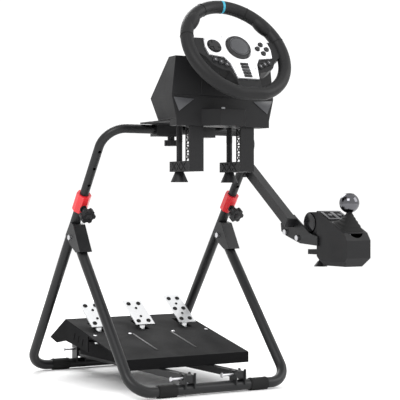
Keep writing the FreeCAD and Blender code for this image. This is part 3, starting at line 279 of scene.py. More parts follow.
def surface_group():
    """A shared effect: fine relief over softened edges, and roughness that varies over the piece."""
    group = bpy.data.node_groups.new("Fine surface", "ShaderNodeTree")
    face = group.interface
    for name, kind, start in (("Grain", "NodeSocketFloat", 900.0), ("Relief", "NodeSocketFloat", 0.1),
                              ("Rough low", "NodeSocketFloat", 0.3), ("Rough high", "NodeSocketFloat", 0.5),
                              ("Edge", "NodeSocketFloat", 0.001)):
        face.new_socket(name, in_out="INPUT", socket_type=kind).default_value = start
    face.new_socket("Roughness", in_out="OUTPUT", socket_type="NodeSocketFloat")
    face.new_socket("Normal", in_out="OUTPUT", socket_type="NodeSocketVector")
    face.new_socket("Tone", in_out="OUTPUT", socket_type="NodeSocketFloat")
    nodes, links = group.nodes, group.links
    inputs = nodes.new("NodeGroupInput")
    outputs = nodes.new("NodeGroupOutput")
    place = nodes.new("ShaderNodeTexCoord")
    fine = nodes.new("ShaderNodeTexNoise")
    fine.inputs["Detail"].default_value = 3
    broad = nodes.new("ShaderNodeTexNoise")
    broad.inputs["Scale"].default_value = 14
    broad.inputs["Detail"].default_value = 4
    spread = nodes.new("ShaderNodeMapRange")
    spread.inputs["From Min"].default_value = 0.3
    spread.inputs["From Max"].default_value = 0.7
    bevel = nodes.new("ShaderNodeBevel")
    bevel.samples = 4
    bump = nodes.new("ShaderNodeBump")
    bump.inputs["Distance"].default_value = 0.0004
    links.new(place.outputs["Object"], fine.inputs["Vector"])
    links.new(place.outputs["Object"], broad.inputs["Vector"])
    links.new(inputs.outputs["Grain"], fine.inputs["Scale"])
    links.new(inputs.outputs["Relief"], bump.inputs["Strength"])
    links.new(inputs.outputs["Rough low"], spread.inputs["To Min"])
    links.new(inputs.outputs["Rough high"], spread.inputs["To Max"])
    links.new(inputs.outputs["Edge"], bevel.inputs["Radius"])
    links.new(broad.outputs["Fac"], spread.inputs["Value"])
    links.new(fine.outputs["Fac"], bump.inputs["Height"])
    links.new(bevel.outputs["Normal"], bump.inputs["Normal"])
    links.new(spread.outputs["Result"], outputs.inputs["Roughness"])
    links.new(bump.outputs["Normal"], outputs.inputs["Normal"])
    links.new(broad.outputs["Fac"], outputs.inputs["Tone"])
    return group


def finish(name, colour, rough, grain=900.0, relief=0.1, metal=0.0, coat=0.0, tone=0.12, edge=None,
           shine=0.5):
    """A procedural surface: its colour drifts a little, its gloss and relief come from the shared group."""
    made = bpy.data.materials.get(name)
    if made:
        return made
    group = bpy.data.node_groups.get("Fine surface") or surface_group()
    material = bpy.data.materials.new(name)
    material.use_nodes = True
    nodes, links = material.node_tree.nodes, material.node_tree.links
    shader = nodes["Principled BSDF"]
    shader.inputs["Metallic"].default_value = metal
    shader.inputs["Coat Weight"].default_value = coat
    shader.inputs["Specular IOR Level"].default_value = shine
    shader.inputs["Coat Roughness"].default_value = 0.12
    fine = nodes.new("ShaderNodeGroup")
    fine.node_tree = group
    fine.inputs["Grain"].default_value = grain
    fine.inputs["Relief"].default_value = relief
    fine.inputs["Rough low"].default_value = rough[0]
    fine.inputs["Rough high"].default_value = rough[1]
    fine.inputs["Edge"].default_value = bpy.context.scene.rig_finish.edge if edge is None else edge
    drift = nodes.new("ShaderNodeMix")
    drift.data_type = "RGBA"
    drift.inputs["A"].default_value = (*[c * (1 - tone) for c in colour], 1)
    drift.inputs["B"].default_value = (*[min(1, c * (1 + tone)) for c in colour], 1)
    links.new(fine.outputs["Tone"], drift.inputs["Factor"])
    links.new(drift.outputs["Result"], shader.inputs["Base Color"])
    links.new(fine.outputs["Roughness"], shader.inputs["Roughness"])
    links.new(fine.outputs["Normal"], shader.inputs["Normal"])
    return material


def brushed(name, colour, rough, stretch):
    """Metal with fine straight brush marks along one direction."""
    material = bpy.data.materials.get(name)
    if material:
        return material
    material = finish(name, colour, rough, relief=0.05, metal=1.0, tone=0.04)
    nodes, links = material.node_tree.nodes, material.node_tree.links
    place = nodes.new("ShaderNodeTexCoord")
    squeeze = nodes.new("ShaderNodeMapping")
    squeeze.inputs["Scale"].default_value = stretch
    marks = nodes.new("ShaderNodeTexNoise")
    marks.inputs["Scale"].default_value = 60
    marks.inputs["Detail"].default_value = 5
    bump = nodes.new("ShaderNodeBump")
    bump.inputs["Strength"].default_value = 0.12
    bump.inputs["Distance"].default_value = 0.0003
    fine = [node for node in nodes if node.type == "GROUP"][0]
    links.new(place.outputs["Object"], squeeze.inputs["Vector"])
    links.new(squeeze.outputs["Vector"], marks.inputs["Vector"])
    links.new(marks.outputs["Fac"], bump.inputs["Height"])
    links.new(fine.outputs["Normal"], bump.inputs["Normal"])
    links.new(bump.outputs["Normal"], nodes["Principled BSDF"].inputs["Normal"])
    return material


def grained_leather():
    """The rim's covering: creases between small cells, with a soft sheen."""
    name = "Grip leather"
    made = bpy.data.materials.get(name)
    if made:
        return made
    colour = bpy.context.scene.rig_finish.leather
    material = finish(name, colour, (0.42, 0.6), grain=500, relief=0.25, edge=0.0, shine=0.22)
    nodes, links = material.node_tree.nodes, material.node_tree.links
    place = nodes.new("ShaderNodeTexCoord")
    cells = nodes.new("ShaderNodeTexVoronoi")
    cells.feature = "DISTANCE_TO_EDGE"
    cells.inputs["Scale"].default_value = 420
    bump = nodes.new("ShaderNodeBump")
    bump.inputs["Strength"].default_value = 0.35
    bump.inputs["Distance"].default_value = 0.0005
    fine = [node for node in nodes if node.type == "GROUP"][0]
    links.new(place.outputs["Object"], cells.inputs["Vector"])
    links.new(cells.outputs["Distance"], bump.inputs["Height"])
    links.new(fine.outputs["Normal"], bump.inputs["Normal"])
    links.new(bump.outputs["Normal"], nodes["Principled BSDF"].inputs["Normal"])
    return material


def powder_coat():
    colour = bpy.context.scene.rig_finish.powder
    return finish("Powder coat", colour, (0.34, 0.46), grain=1400, relief=0.3, coat=0.05, shine=0.3)


def textured_black():
    return finish("Textured black", (0.0065, 0.0065, 0.007), (0.6, 0.75), grain=1100, relief=0.4, shine=0.07)


def moulded_plastic():
    colour = bpy.context.scene.rig_finish.plastic
    return finish("Moulded plastic", colour, (0.42, 0.56), grain=2200, relief=0.25, shine=0.22)


def gloss_black():
    return finish("Gloss black", (0.008, 0.008, 0.009), (0.14, 0.24), grain=300, relief=0.01, coat=0.15,
                  shine=0.35)


def key_grey():
    return finish("Key grey", (0.5, 0.51, 0.53), (0.35, 0.45), grain=1500, relief=0.1, edge=0.0005)


def black_rubber():
    return finish("Black rubber", (0.009, 0.009, 0.009), (0.62, 0.8), grain=1800, relief=0.4, shine=0.18)


def zinc_steel():
    return finish("Zinc steel", (0.62, 0.62, 0.64), (0.24, 0.36), relief=0.06, metal=1.0, tone=0.06)


def knob_plastic():
    return finish("Knob plastic", (0.009, 0.009, 0.01), (0.42, 0.55), grain=2000, relief=0.25, shine=0.25)


def collar_red():
    colour = bpy.context.scene.rig_finish.collar
    return finish("Collar red", colour, (0.3, 0.42), grain=1200, relief=0.12, coat=0.3)


def dark_chrome():
    return finish("Dark chrome", (0.12, 0.12, 0.13), (0.08, 0.14), grain=400, relief=0.01, metal=1.0,
                  edge=0.0)


def satin_graphite():
    return finish("Satin graphite", (0.045, 0.046, 0.05), (0.26, 0.36), grain=1600, relief=0.08, coat=0.2,
                  shine=0.4)


def pale_print():
    return finish("Pale print", (0.34, 0.34, 0.36), (0.45, 0.55), relief=0.02, edge=0.0)


def spoke_silver():
    colour = bpy.context.scene.rig_finish.silver
    return finish("Spoke silver", colour, (0.3, 0.4), grain=1500, relief=0.06, metal=0.55, tone=0.04)


def pedal_metal():
    return brushed("Pedal aluminium", (0.8, 0.81, 0.82), (0.26, 0.36), (14, 1, 1))


def slot_finishes():
    """Which finish each of the record's material slots wears."""
    return {
        "frame_black": powder_coat(), "collar_red": collar_red(), "foot_rubber": black_rubber(),
        "zinc": zinc_steel(), "knob_black": knob_plastic(), "shell_black": moulded_plastic(),
        "grip_black": grained_leather(), "plate_silver": spoke_silver(), "hub_gloss": gloss_black(),
        "key_grey": key_grey(), "pedal_metal": pedal_metal(), "ball_dark": dark_chrome(),
    }


# ---------------------------------------------------------------- pieces

class RIG_OT_frame_finish(bpy.types.Operator):
    """Put the finishes on the CAD pieces and smooth their round faces"""
    bl_idname = "rig.frame_finish"
    bl_label = "Finish the CAD pieces"

    def execute(self, context):
        finishes = slot_finishes()
        slots = {part["node"]: part["material_slot"] for part in frame["record"]["subparts"]}
        for node, piece in frame["nodes"].items():
            piece.data.materials.clear()
            surface = finishes[slots[node]]
            if node.startswith(("pod_key", "shift_key")):
                surface = satin_graphite()
            elif node == "pedal_base":
                surface = textured_black()
            piece.data.materials.append(surface)
            clear_selection()
            piece.select_set(True)
            context.view_layer.objects.active = piece
            bpy.ops.object.shade_smooth_by_angle(angle=math.radians(30))
        clear_selection()
        return {"FINISHED"}


class RIG_OT_rim_trim(bpy.types.Operator):
    """Add the rim's centre mark, its thumb rests, its bands and its stitches"""
    bl_idname = "rig.rim_trim"
    bl_label = "Rim trim"

    def execute(self, context):
        detail = context.scene.rig_detail
        colour = context.scene.rig_finish.marker
        self.add_mark(detail, finish("Centre mark", colour, (0.35, 0.45), relief=0.1, edge=0.0))
        inset = RIM_R - 0.004
        rests = []
        for side in (-1, 1):
            angle = math.radians(90 + side * 52)
            place = (math.cos(angle) * inset, math.sin(angle) * inset, 0.001)
            rests.append(pebble("rest", (detail.bulge, 0.036, detail.bulge), place, (0, 0, angle)))
        rests = moved(settle(joined(rests, "thumb_rests")), WHEEL)
        fitted(rests, "steering_wheel", grained_leather())
        bands = []
        for side in (-1, 1):
            for angle in (28, 76):
                turn = math.radians(90 + side * angle)
                place = (math.cos(turn) * RIM_R, math.sin(turn) * RIM_R, 0)
                upright = (math.pi / 2, 0, turn)
                bands.append(ring("band", 0.0151, 0.0008, place, upright, around=40, section=8))
        bands = moved(settle(joined(bands, "grip_bands")), WHEEL)
        fitted(bands, "steering_wheel", black_rubber())
        self.add_stitches(detail)
        return {"FINISHED"}

    def add_mark(self, detail, surface):
        mark = ring("centre_mark", RIM_R, 0.01535, (0, 0, 0), around=360, section=32)
        drop_faces(mark, lambda spot: abs(math.atan2(spot.x, spot.y)) > detail.mark_angle)
        fitted(moved(settle(mark), WHEEL), "steering_wheel", surface)

    def add_stitches(self, detail):
        """Short threads round the inside of the rim, above its flat."""
        radius = RIM_R - 0.0149
        count = int(2 * math.pi * radius / (detail.stitch * 1.7))
        first = block("stitch", (0.0007, detail.stitch, 0.0007), (0, 0, 0))
        soften(first, 0.0003, 1)
        threads = []
        for index in range(count):
            angle = 2 * math.pi * index / count
            across, up = abs(math.cos(angle)), math.sin(angle)
            at_spokes = across > 0.8 and -0.45 < up < 0.25
            if up * radius < -0.1 or at_spokes:
                continue
            thread = first.copy()
            thread.data = first.data.copy()
            bpy.context.scene.collection.objects.link(thread)
            thread.data.transform(Matrix.Rotation(angle, 4, "Z") @ Matrix.Translation((radius, 0, 0))
                                  @ Matrix.Rotation(math.radians(18), 4, "X"))
            threads.append(thread)
        bpy.data.objects.remove(first)
        thread = moved(joined(threads, "rim_stitches"), WHEEL)
        grey_thread = finish("Thread", (0.06, 0.06, 0.065), (0.6, 0.7), edge=0.0)
        fitted(thread, "steering_wheel", grey_thread)


class RIG_OT_hub_trim(bpy.types.Operator):
    """Add the blank badge and ring on the hub, and the caps on the keys"""
    bl_idname = "rig.hub_trim"
    bl_label = "Hub and key marks"

    def execute(self, context):
        middle = (0, 0, HUB_FRONT + 0.0004)
        badge = soften(disc("hub_badge", 0.022, 0.0024, middle, sides=72), 0.0008)
        fitted(moved(badge, WHEEL), "steering_wheel", satin_graphite())
        rim = settle(ring("hub_ring", 0.0238, 0.0011, middle))
        fitted(moved(rim, WHEEL), "steering_wheel", satin_graphite())
        self.mark_faces()
        self.mark_pods()
        self.mark_menu()
        return {"FINISHED"}

    def mark_faces(self):
        """A raised lip on each of the four round keys."""
        for name in ("top", "bottom", "left", "right"):
            node = f"face_button_{name}"
            mark = ring(f"face_mark_{name}", 0.0027, 0.00045, key_top(node), around=32, section=8)
            fitted(moved(settle(mark), WHEEL), node, gloss_black())

    def mark_pods(self):
        """A dark cap with a pale arrowhead on each pod key."""
        lean = math.radians(32)
        size = (0.0044, 0.0011, 0.0006)
        for side in ("left", "right"):
            sign = -1 if side == "left" else 1
            for index in (1, 2, 3):
                node = f"pod_key_{side}_{index}"
                middle = key_top(node)
                cap = soften(disc(f"pod_cap_{side}_{index}", 0.0062, 0.0016, middle, sides=40), 0.0006)
                fitted(moved(cap, WHEEL), node, gloss_black())
                bars = []
                for way in (-1, 1):
                    place = (middle.x + sign * 0.0003, middle.y + way * 0.0011, middle.z + 0.0009)
                    bars.append(soften(block("bar", size, place, (0, 0, -sign * way * lean)), 0.0002, 2))
                head = moved(joined(bars, f"pod_mark_{side}_{index}"), WHEEL)
                fitted(head, node, pale_print())

    def mark_menu(self):
        """Dark caps on the menu keys."""
        size = (0.0188, 0.0052, 0.0012)
        for index in range(1, 6):
            node = f"menu_key_{index}"
            middle = key_top(node)
            cap = soften(block(f"menu_cap_{index}", size, (middle.x, middle.y, middle.z + 0.0004)), 0.0008)
            surface = satin_graphite() if index == 3 else gloss_black()
            fitted(moved(cap, WHEEL), node, surface)


def key_top(node):
    """Middle of a key's outer face, in the wheel's own frame."""
    inverse = WHEEL.inverted()
    spots = [inverse @ vertex.co for vertex in frame["nodes"][node].data.vertices]
    low = Vector([min(spot[axis] for spot in spots) for axis in range(3)])
    high = Vector([max(spot[axis] for spot in spots) for axis in range(3)])
    return Vector(((low.x + high.x) / 2, (low.y + high.y) / 2, high.z))


class RIG_OT_wheel_trim(bpy.types.Operator):
    """Add the spoke screws and the frames round the pads"""
    bl_idname = "rig.wheel_trim"
    bl_label = "Spoke trim"

    def execute(self, context):
        screws = []
        for side in (-1, 1):
            for across, up in ((0.036, 0.0275), (0.0275, -0.058), (0.083, 0.0175)):
                place = (side * across, up, PLATE_FRONT + 0.0003)
                screws.append(soften(disc("screw", 0.0022, 0.001, place, sides=24), 0.0004, 2))
        screws = moved(joined(screws, "spoke_screws"), WHEEL)
        fitted(screws, "steering_wheel", zinc_steel())
        frames = [ring("frame", 0.0172, 0.0012, (-KEYS_X, 0, PLATE_FRONT), around=72, section=12)]
        for across, up in ((0, 1), (0, -1), (-1, 0), (1, 0)):
            spot = (KEYS_X + across * FACE_PITCH, up * FACE_PITCH, PLATE_FRONT)
            frames.append(ring("frame", 0.0062, 0.0007, spot, around=40, section=8))
        frames = moved(settle(joined(frames, "key_frames")), WHEEL)
        fitted(frames, "steering_wheel", gloss_black())
        return {"FINISHED"}


class RIG_OT_base_trim(bpy.types.Operator):
    """Add the housing's painted highlights (lighter grey patches on the front's lower corners), its lamps, beads
    and ribs, and the clamps' lattice
    """
    bl_idname = "rig.base_trim"
    bl_label = "Base housing trim"

    def execute(self, context):
        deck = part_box("deck_plate")[1].z
        self.add_painted_highlights(deck)
        self.add_lamps(deck)
        self.add_seams(deck)
        self.add_lattice()
        return {"FINISHED"}

    def add_lattice(self):
        """Crossed braces between the ribs of the clamp arms and on the sides of their feet."""
        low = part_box("clamp_arms")[0]
        gap, depth = 0.0196, 0.0185
        foot_gap, foot_depth = 0.019, 0.0205
        bars = []
        for side in (-1, 1):
            for edge in (-1, 1):
                x = side * CLAMP_X + edge * 0.0155
                foot_x = side * CLAMP_X + edge * 0.0172
                post = block("post", (0.0026, 0.003, 0.100), (x, low.y + 0.0225, low.z + 0.052))
                bars.append(soften(post, 0.0006, 2))
                for step in range(5):
                    bars += self.cross((x, low.y + 0.0135, low.z + 0.0135 + step * gap), depth, gap)
                for step in range(3):
                    spot = (foot_x, low.y + 0.034 + step * 0.0215, low.z + 0.012)
                    bars += self.cross(spot, foot_depth, foot_gap)
        fitted(joined(bars, "clamp_lattice"), "deck", moulded_plastic())

    def cross(self, spot, depth, rise):
        """Two crossed bars in an upright plane."""
        lean = math.atan2(rise, depth)
        size = (0.002, math.hypot(depth, rise) - 0.001, 0.002)
        return [soften(block("brace", size, spot, (way * lean, 0, 0)), 0.0005, 2) for way in (-1, 1)]

    def add_painted_highlights(self, deck):
        """Painted highlight: flat patches of a lighter, glossier grey on the front face's lower corners, in place
        of the facets there that catch more light.
        """
        highlight_patches = []
        for side in (-1, 1):
            clear_selection()
            bpy.ops.mesh.primitive_circle_add(vertices=3, radius=0.01, fill_type="NGON", location=(0, 0, 0))
            panel = started("shoulder")
            corners = ((0.080, 0.045), (0.120, 0.016), (0.134, 0.048))
            for vertex, (across, up) in zip(panel.data.vertices, corners):
                vertex.co = (side * across, HOUSING_FRONT - 0.0003, deck + up)
            bpy.ops.object.mode_set(mode="EDIT")
            bpy.ops.mesh.select_all(action="SELECT")
            bpy.ops.mesh.extrude_region_move(TRANSFORM_OT_translate={"value": (0, -0.0016, 0)})
            bpy.ops.object.mode_set(mode="OBJECT")
            highlight_patches.append(soften(panel, 0.0007, 2))
        highlight_patches = joined(highlight_patches, "painted_highlight_patches")
        # the lighter grey of these patches is painted highlight on the dark housing, where its corner facets catch
        # the light
        fitted(highlight_patches, "deck", satin_graphite())

    def add_lamps(self, deck):
        """Three small lamps above the chin."""
        lamps = []
        for index in range(3):
            place = (0.002 + index * 0.011, HOUSING_FRONT - 0.020, deck + 0.0222)
            lamps.append(soften(disc("lamp", 0.0022, 0.0014, place, sides=24), 0.0005, 2))
        fitted(joined(lamps, "status_lamps"), "deck", key_grey())

    def add_seams(self, deck):
        """Raised beads on the front and a row of cooling ribs down the rear slope."""
        proud = HOUSING_FRONT - 0.0004
        beads = [soften(block("bead", (0.262, 0.0024, 0.0026), (0, proud, deck + 0.052)), 0.001)]
        for side in (-1, 1):
            upright = block("bead", (0.0026, 0.0024, 0.07), (side * 0.060, proud, deck + 0.092))
            beads.append(soften(upright, 0.001))
        beads = joined(beads, "front_beads")
        fitted(beads, "deck", moulded_plastic())
        ribs = []
        turn = (-math.pi / 2 + math.atan2(0.088, 0.091) + 0.03, 0, 0)
        for index in range(7):
            place = (-0.054 + index * 0.018, -0.2235, deck + 0.0975)
            ribs.append(soften(block("rib", (0.006, 0.07, 0.003), place, turn), 0.0012))
        fitted(joined(ribs, "cooling_ribs"), "deck", gloss_black())


class RIG_OT_stand_trim(bpy.types.Operator):
    """Add the stand's screws, caps and sleeve ribs, and the clamp screws' threads"""
    bl_idname = "rig.stand_trim"
    bl_label = "Stand trim"

    def execute(self, context):
        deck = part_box("deck_plate")[1].z
        heads = []
        for x in (-0.085, -0.03, 0.03, 0.085):
            head = disc("head", 0.0062, 0.004, (x, -0.157, deck + 0.002), sides=32)
            heads.append(soften(head, 0.0018, 3))
        fitted(joined(heads, "deck_screws"), "deck", zinc_steel())
        self.add_arm_cap()
        self.add_knob_caps()
        self.add_threads()
        self.add_foot_ribs()
        return {"FINISHED"}

    def add_arm_cap(self):
        """The plastic plug that closes the arm's lower end."""
        end = ARM_END - Vector((0, math.cos(ARM_SLOPE), math.sin(ARM_SLOPE))) * 0.0015
        cap = soften(block("arm_cap", (0.0262, 0.005, 0.0262), end, (ARM_SLOPE, 0, 0)), 0.0015)
        fitted(cap, "upper_frame", knob_plastic())

    def add_knob_caps(self):
        """A domed centre on each star knob."""
        for side in ("left", "right"):
            joint = f"lock_turn_{side}"
            spot = Matrix.Translation(Vector(JOINTS[joint]["pos_m"]))
            dome = pebble(f"knob_dome_{side}", (0.0085, 0.0085, 0.0035), (0, 0, 0.053))
            moved(settle(dome), spot @ turned(joint))
            fitted(dome, f"lock_knob_{side}", knob_plastic())

    def add_threads(self):
        """Ridges of the clamp screws, on the length that never enters their arms' feet."""
        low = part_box("clamp_arms")[0]
        for side in ("left", "right"):
            x, y = JOINTS[f"clamp_screw_turn_{side}"]["pos_m"][:2]
            turns = []
            for step in range(12):
                height = low.z + 0.0715 + step * 0.003
                turns.append(ring("turn", 0.0070, 0.0008, (x, y, height), around=40, section=6))
            thread = settle(joined(turns, f"screw_thread_{side}"))
            fitted(thread, f"clamp_screw_{side}", knob_plastic())

    def add_foot_ribs(self):
        """Raised rings round the rubber sleeves."""
        sideways = (0, math.pi / 2, 0)
        for body, node in (("front_frame", "front_feet"), ("rear_frame", "rear_feet")):
            low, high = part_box(node)
            y, z = (low.y + high.y) / 2, high.z - 0.0141
            rings = []
            for side in (-1, 1):
                for step in (-0.020, 0.020):
                    place = (side * SLEEVE_X + step, y, z)
                    rings.append(ring("rib", 0.0138, 0.0011, place, sideways, around=48, section=8))
            fitted(settle(joined(rings, f"{node}_ribs")), body, black_rubber())


class RIG_OT_pedal_trim(bpy.types.Operator):
    """Add the beads and screws of the foot plate and the studs on the pedals"""
    bl_idname = "rig.pedal_trim"
    bl_label = "Pedal plate trim"

    def execute(self, context):
        rib = context.scene.rig_detail.rib
        slope = math.atan2(PLATE_FAR.z - PLATE_NEAR.z, PLATE_FAR.y - PLATE_NEAR.y)
        beads = []
        middle = PLATE_NEAR.lerp(PLATE_FAR, 0.36)
        for x in (-0.055, 0.055):
            place = (x, middle.y, middle.z + rib * 0.3)
            beads.append(soften(block("bead", (0.0052, 0.13, rib), place, (slope, 0, 0)), 0.0006, 2))
        fitted(joined(beads, "plate_beads"), "pedal_rack", powder_coat())
        screws = []
        middle = PLATE_NEAR.lerp(PLATE_FAR, 0.56)
        for x in (-0.16, -0.0625, 0.0625, 0.16):
            place = (x, middle.y, middle.z + 0.0008)
            screws.append(soften(disc("screw", 0.0046, 0.0026, place, (slope, 0, 0), sides=32), 0.0008, 2))
        fitted(joined(screws, "plate_screws"), "pedal_rack", zinc_steel())
        self.add_studs("clutch", -PEDAL_PITCH, 0.0143, 0.097, 2)
        self.add_studs("brake", 0, 0.0143, 0.097, 2)
        self.add_studs("throttle", PEDAL_PITCH, 0.0127, 0.111, 3)
        return {"FINISHED"}

    def add_studs(self, name, x, across, length, rows):
        """Rubber studs through the drillings of one foot plate."""
        frame_of = (Matrix.Translation((x, PEDAL_FOOT.y, PEDAL_FOOT.z)) @ Matrix.Rotation(PEDAL_RAKE, 4, "X")
                    @ Matrix.Translation((0, 0, PEDAL_SHEET)))
        margin = 0.014
        span = length - 2 * margin
        studs = []
        for row in range(rows):
            up = margin + row * span / (rows - 1)
            for side in (-1, 1):
                stud = disc("stud", 0.0062, 0.0034, (side * across, up, -0.0004), sides=36)
                studs.append(soften(stud, 0.0013, 3))
                lip = ring("lip", 0.0046, 0.0009, (side * across, up, 0.0012), around=36, section=8)
                studs.append(settle(lip))
        for share in (0.26, 0.74):
            plug = disc("plug", 0.0036, 0.0028, (0, margin + span * share, 0.0002), sides=28)
            studs.append(soften(plug, 0.0009, 2))
        studs = moved(joined(studs, f"{name}_studs"), frame_of)
        fitted(studs, f"{name}_pedal", black_rubber())


class RIG_OT_shifter_trim(bpy.types.Operator):
    """Add the shifter's key panel, boot and drum, and the disc on its ball"""
    bl_idname = "rig.shifter_trim"
    bl_label = "Shifter trim"

    def execute(self, context):
        lever = Vector(JOINTS["shifter_gear"]["pos_m"])
        slope = math.atan2(-HIGH_KEY.y, HIGH_KEY.z)
        keys = [frame["nodes"][f"shift_key_{side}"].data.vertices for side in ("left", "right")]
        middle = sum((sum((v.co for v in key), Vector()) / len(key) for key in keys), Vector()) / 2
        surface = middle + HIGH_KEY * 0.0032
        up_slope = Vector((0, math.cos(slope), math.sin(slope)))
        strips = ((0, 0.0195, 0.062, 0.006), (0, -0.0195, 0.062, 0.006), (0, 0, 0.010, 0.034),
                  (-0.0275, 0, 0.007, 0.034), (0.0275, 0, 0.007, 0.034))
        edges = []
        for across, along, width, depth in strips:
            place = surface + Vector((across, 0, 0)) + up_slope * along
            edges.append(soften(block("strip", (width, depth, 0.0012), place, (slope, 0, 0)), 0.0004, 2))
        fitted(joined(edges, "key_panel"), "upper_frame", satin_graphite())
        self.add_boot(lever, slope)
        self.add_drum(lever)
        top = disc("ball_disc", 0.012, 0.0016, (lever.x, lever.y, 0.4682), sides=48)
        fitted(soften(top, 0.0006), "shift_lever", gloss_black())
        return {"FINISHED"}

    def add_boot(self, lever, slope):
        """A pleated gaiter from the sloping top to the lever's neck, made as two halves."""
        base = Vector((lever.x, lever.y + 0.0035, 0.3905))
        neck = Vector((lever.x, lever.y, 0.4235))
        skirt = self.boot_half("boot_skirt", 0, base, neck, slope)
        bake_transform(skirt)
        upper = self.boot_half("boot_gaiter", 0.5, base, neck, slope)
        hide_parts("shifter_boot")
        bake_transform(upper)
        self.add_seat(base, slope)

    def add_seat(self, base, slope):
        """The rounded square ring round the gaiter's foot."""
        scale = 0.034
        collar = ring("boot_seat", 1, 0.06, (0, 0, 0), around=72, section=12)
        for vertex in collar.data.vertices:
            around = math.atan2(vertex.co.y, vertex.co.x)
            out = Vector((math.cos(around), math.sin(around), 0)) * self.square(around, 4)
            away = (math.hypot(vertex.co.x, vertex.co.y) - 1) * scale
            vertex.co = out * (0.0315 + away) + Vector((0, 0, vertex.co.z * scale))
        moved(settle(collar), Matrix.Translation(base - HIGH_KEY * 0.0008) @ Matrix.Rotation(slope, 4, "X"))
        fitted(collar, "upper_frame", moulded_plastic())

    def boot_half(self, name, first, base, neck, slope):
        """The half of the gaiter that starts at one share of its height."""
        clear_selection()
        bpy.ops.mesh.primitive_cylinder_add(vertices=72, radius=1, depth=1, end_fill_type="NOTHING")
        half = started(name)
        bpy.ops.object.mode_set(mode="EDIT")
        bpy.ops.mesh.select_all(action="SELECT")
        bpy.ops.mesh.subdivide(number_cuts=15, quadcorner="PATH")
        bpy.ops.object.mode_set(mode="OBJECT")
        for vertex in half.data.vertices:
            up = first + (vertex.co.z + 0.5) / 2
            vertex.co = self.boot_point(math.atan2(vertex.co.y, vertex.co.x), up, base, neck, slope)
        thick = half.modifiers.new("Wall", "SOLIDIFY")
        thick.thickness = 0.0012
        bpy.ops.object.modifier_apply(modifier=thick.name)
        settle(half)
        half.data.materials.append(black_rubber())
        return half

    def square(self, around, power):
        """How far a rounded square of half side 1 reaches in one direction."""
        return (abs(math.cos(around)) ** power + abs(math.sin(around)) ** power) ** (-1 / power)

    def boot_point(self, around, up, base, neck, slope):
        """A point of the gaiter: a rounded square on the slope that closes to a round neck."""
        pleat = 0.0009 * math.sin(up * 5 * 2 * math.pi) * (1 - up * 0.6)
        radius = (0.0235 * (1 - up) ** 1.3 + 0.0075 + pleat) * self.square(around, 4 - 2 * up)
        tilt = slope * max(0, 1 - up * 1.3)
        rim = Vector((math.cos(around), math.sin(around) * math.cos(tilt), math.sin(around) * math.sin(tilt)))
        return base.lerp(neck, up) + rim * radius

    def add_drum(self, lever):
        """The round drum behind the box, with a cap on each end."""
        sideways = (0, math.pi / 2, 0)
        body = disc("selector_drum", DRUM_R, DRUM_WIDTH, (lever.x, DRUM_Y, DRUM_Z), sideways, sides=96)
        bridge = block("bridge", (DRUM_WIDTH, 0.034, 2 * DRUM_R), (lever.x, -0.3365, DRUM_Z))
        body = joined([soften(body, 0.0015), soften(bridge, 0.0012)], "selector_drum")
        fitted(body, "upper_frame", moulded_plastic())
        for name, side in (("left", -1), ("right", 1)):
            spot = (lever.x + side * (DRUM_WIDTH / 2 + 0.0002), DRUM_Y, DRUM_Z)
            cap = soften(disc(f"drum_cap_{name}", 0.0225, 0.0022, spot, sideways, sides=64), 0.0008)
            fitted(cap, "upper_frame", gloss_black())


# ---------------------------------------------------------------- stage

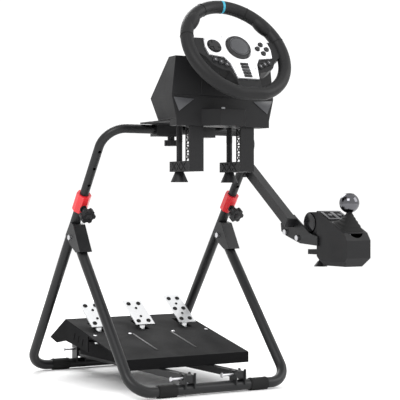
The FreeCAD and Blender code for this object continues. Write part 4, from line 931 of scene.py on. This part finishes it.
class RIG_OT_stage(bpy.types.Operator):
    """Lay the pale floor and backdrop, hang the lamps and set the camera"""
    bl_idname = "rig.stage"
    bl_label = "Stage"

    def execute(self, context):
        stage = context.scene.rig_stage
        clear_selection()
        bpy.ops.mesh.primitive_plane_add(size=stage.floor, location=(0, 0, -0.0005))
        floor = started("floor")
        pale = finish("Pale floor", (0.93, 0.93, 0.93), (0.7, 0.8), grain=60, relief=0.0, tone=0.01, edge=0.0)
        floor.data.materials.append(pale)
        self.add_lamp("key_lamp", (-2.4, -2.6, 3.2), 2.0, 90)
        self.add_lamp("fill_lamp", (2.8, -2.4, 2.2), 2.4, 55)
        self.add_lamp("rear_lamp", (0.6, 3.0, 3.0), 2.2, 90)
        context.scene.view_settings.view_transform = "Standard"
        world = bpy.data.worlds.new("Studio")
        context.scene.world = world
        world.use_nodes = True
        back = world.node_tree.nodes["Background"]
        back.inputs["Color"].default_value = (1, 1, 1, 1)
        back.inputs["Strength"].default_value = 1.1
        bpy.ops.object.camera_add(location=(stage.camera_x, stage.camera_y, stage.camera_z),
                                  rotation=(math.pi / 2, 0, stage.yaw))
        camera = context.object
        camera.data.lens = stage.lens
        camera.data.sensor_width = 36
        camera.data.clip_end = 100
        context.scene.camera = camera
        return {"FINISHED"}

    def add_lamp(self, name, place, size, power):
        """A large soft lamp that looks at the rig's middle."""
        clear_selection()
        aim = (Vector((0, -0.1, 0.45)) - Vector(place)).to_track_quat("-Z", "Y").to_euler()
        bpy.ops.object.light_add(type="AREA", location=place, rotation=aim)
        lamp = bpy.context.object
        lamp.name = name
        lamp.data.size = size
        lamp.data.energy = power


class RIG_PT_panel(bpy.types.Panel):
    """Lists the rig's settings and the steps that build it"""
    bl_label = "Driving Rig"
    bl_idname = "RIG_PT_panel"
    bl_space_type = "VIEW_3D"
    bl_region_type = "UI"
    bl_category = "Driving Rig"

    def draw(self, context):
        column = self.layout.column()
        for settings in (context.scene.rig_finish, context.scene.rig_detail, context.scene.rig_stage):
            for name in settings.__annotations__:
                column.prop(settings, name)
        for step in STEPS:
            column.operator(step.bl_idname)


STEPS = (RIG_OT_frame_finish, RIG_OT_rim_trim, RIG_OT_hub_trim, RIG_OT_wheel_trim, RIG_OT_base_trim,
         RIG_OT_stand_trim, RIG_OT_pedal_trim, RIG_OT_shifter_trim, RIG_OT_stage)
CLASSES = (RigFinish, RigDetail, RigStage, *STEPS, RIG_PT_panel)


def register():
    for item in CLASSES:
        bpy.utils.register_class(item)
    bpy.types.Scene.rig_finish = bpy.props.PointerProperty(type=RigFinish)
    bpy.types.Scene.rig_detail = bpy.props.PointerProperty(type=RigDetail)
    bpy.types.Scene.rig_stage = bpy.props.PointerProperty(type=RigStage)


def unregister():
    del bpy.types.Scene.rig_stage
    del bpy.types.Scene.rig_detail
    del bpy.types.Scene.rig_finish
    for item in reversed(CLASSES):
        bpy.utils.unregister_class(item)


def main():
    register()
    bpy.ops.rig.frame_finish()
    bpy.ops.rig.rim_trim()
    bpy.ops.rig.hub_trim()
    bpy.ops.rig.wheel_trim()
    bpy.ops.rig.base_trim()
    bpy.ops.rig.stand_trim()
    bpy.ops.rig.pedal_trim()
    bpy.ops.rig.shifter_trim()
    bpy.ops.rig.stage()


if __name__ == "__main__":
    main()
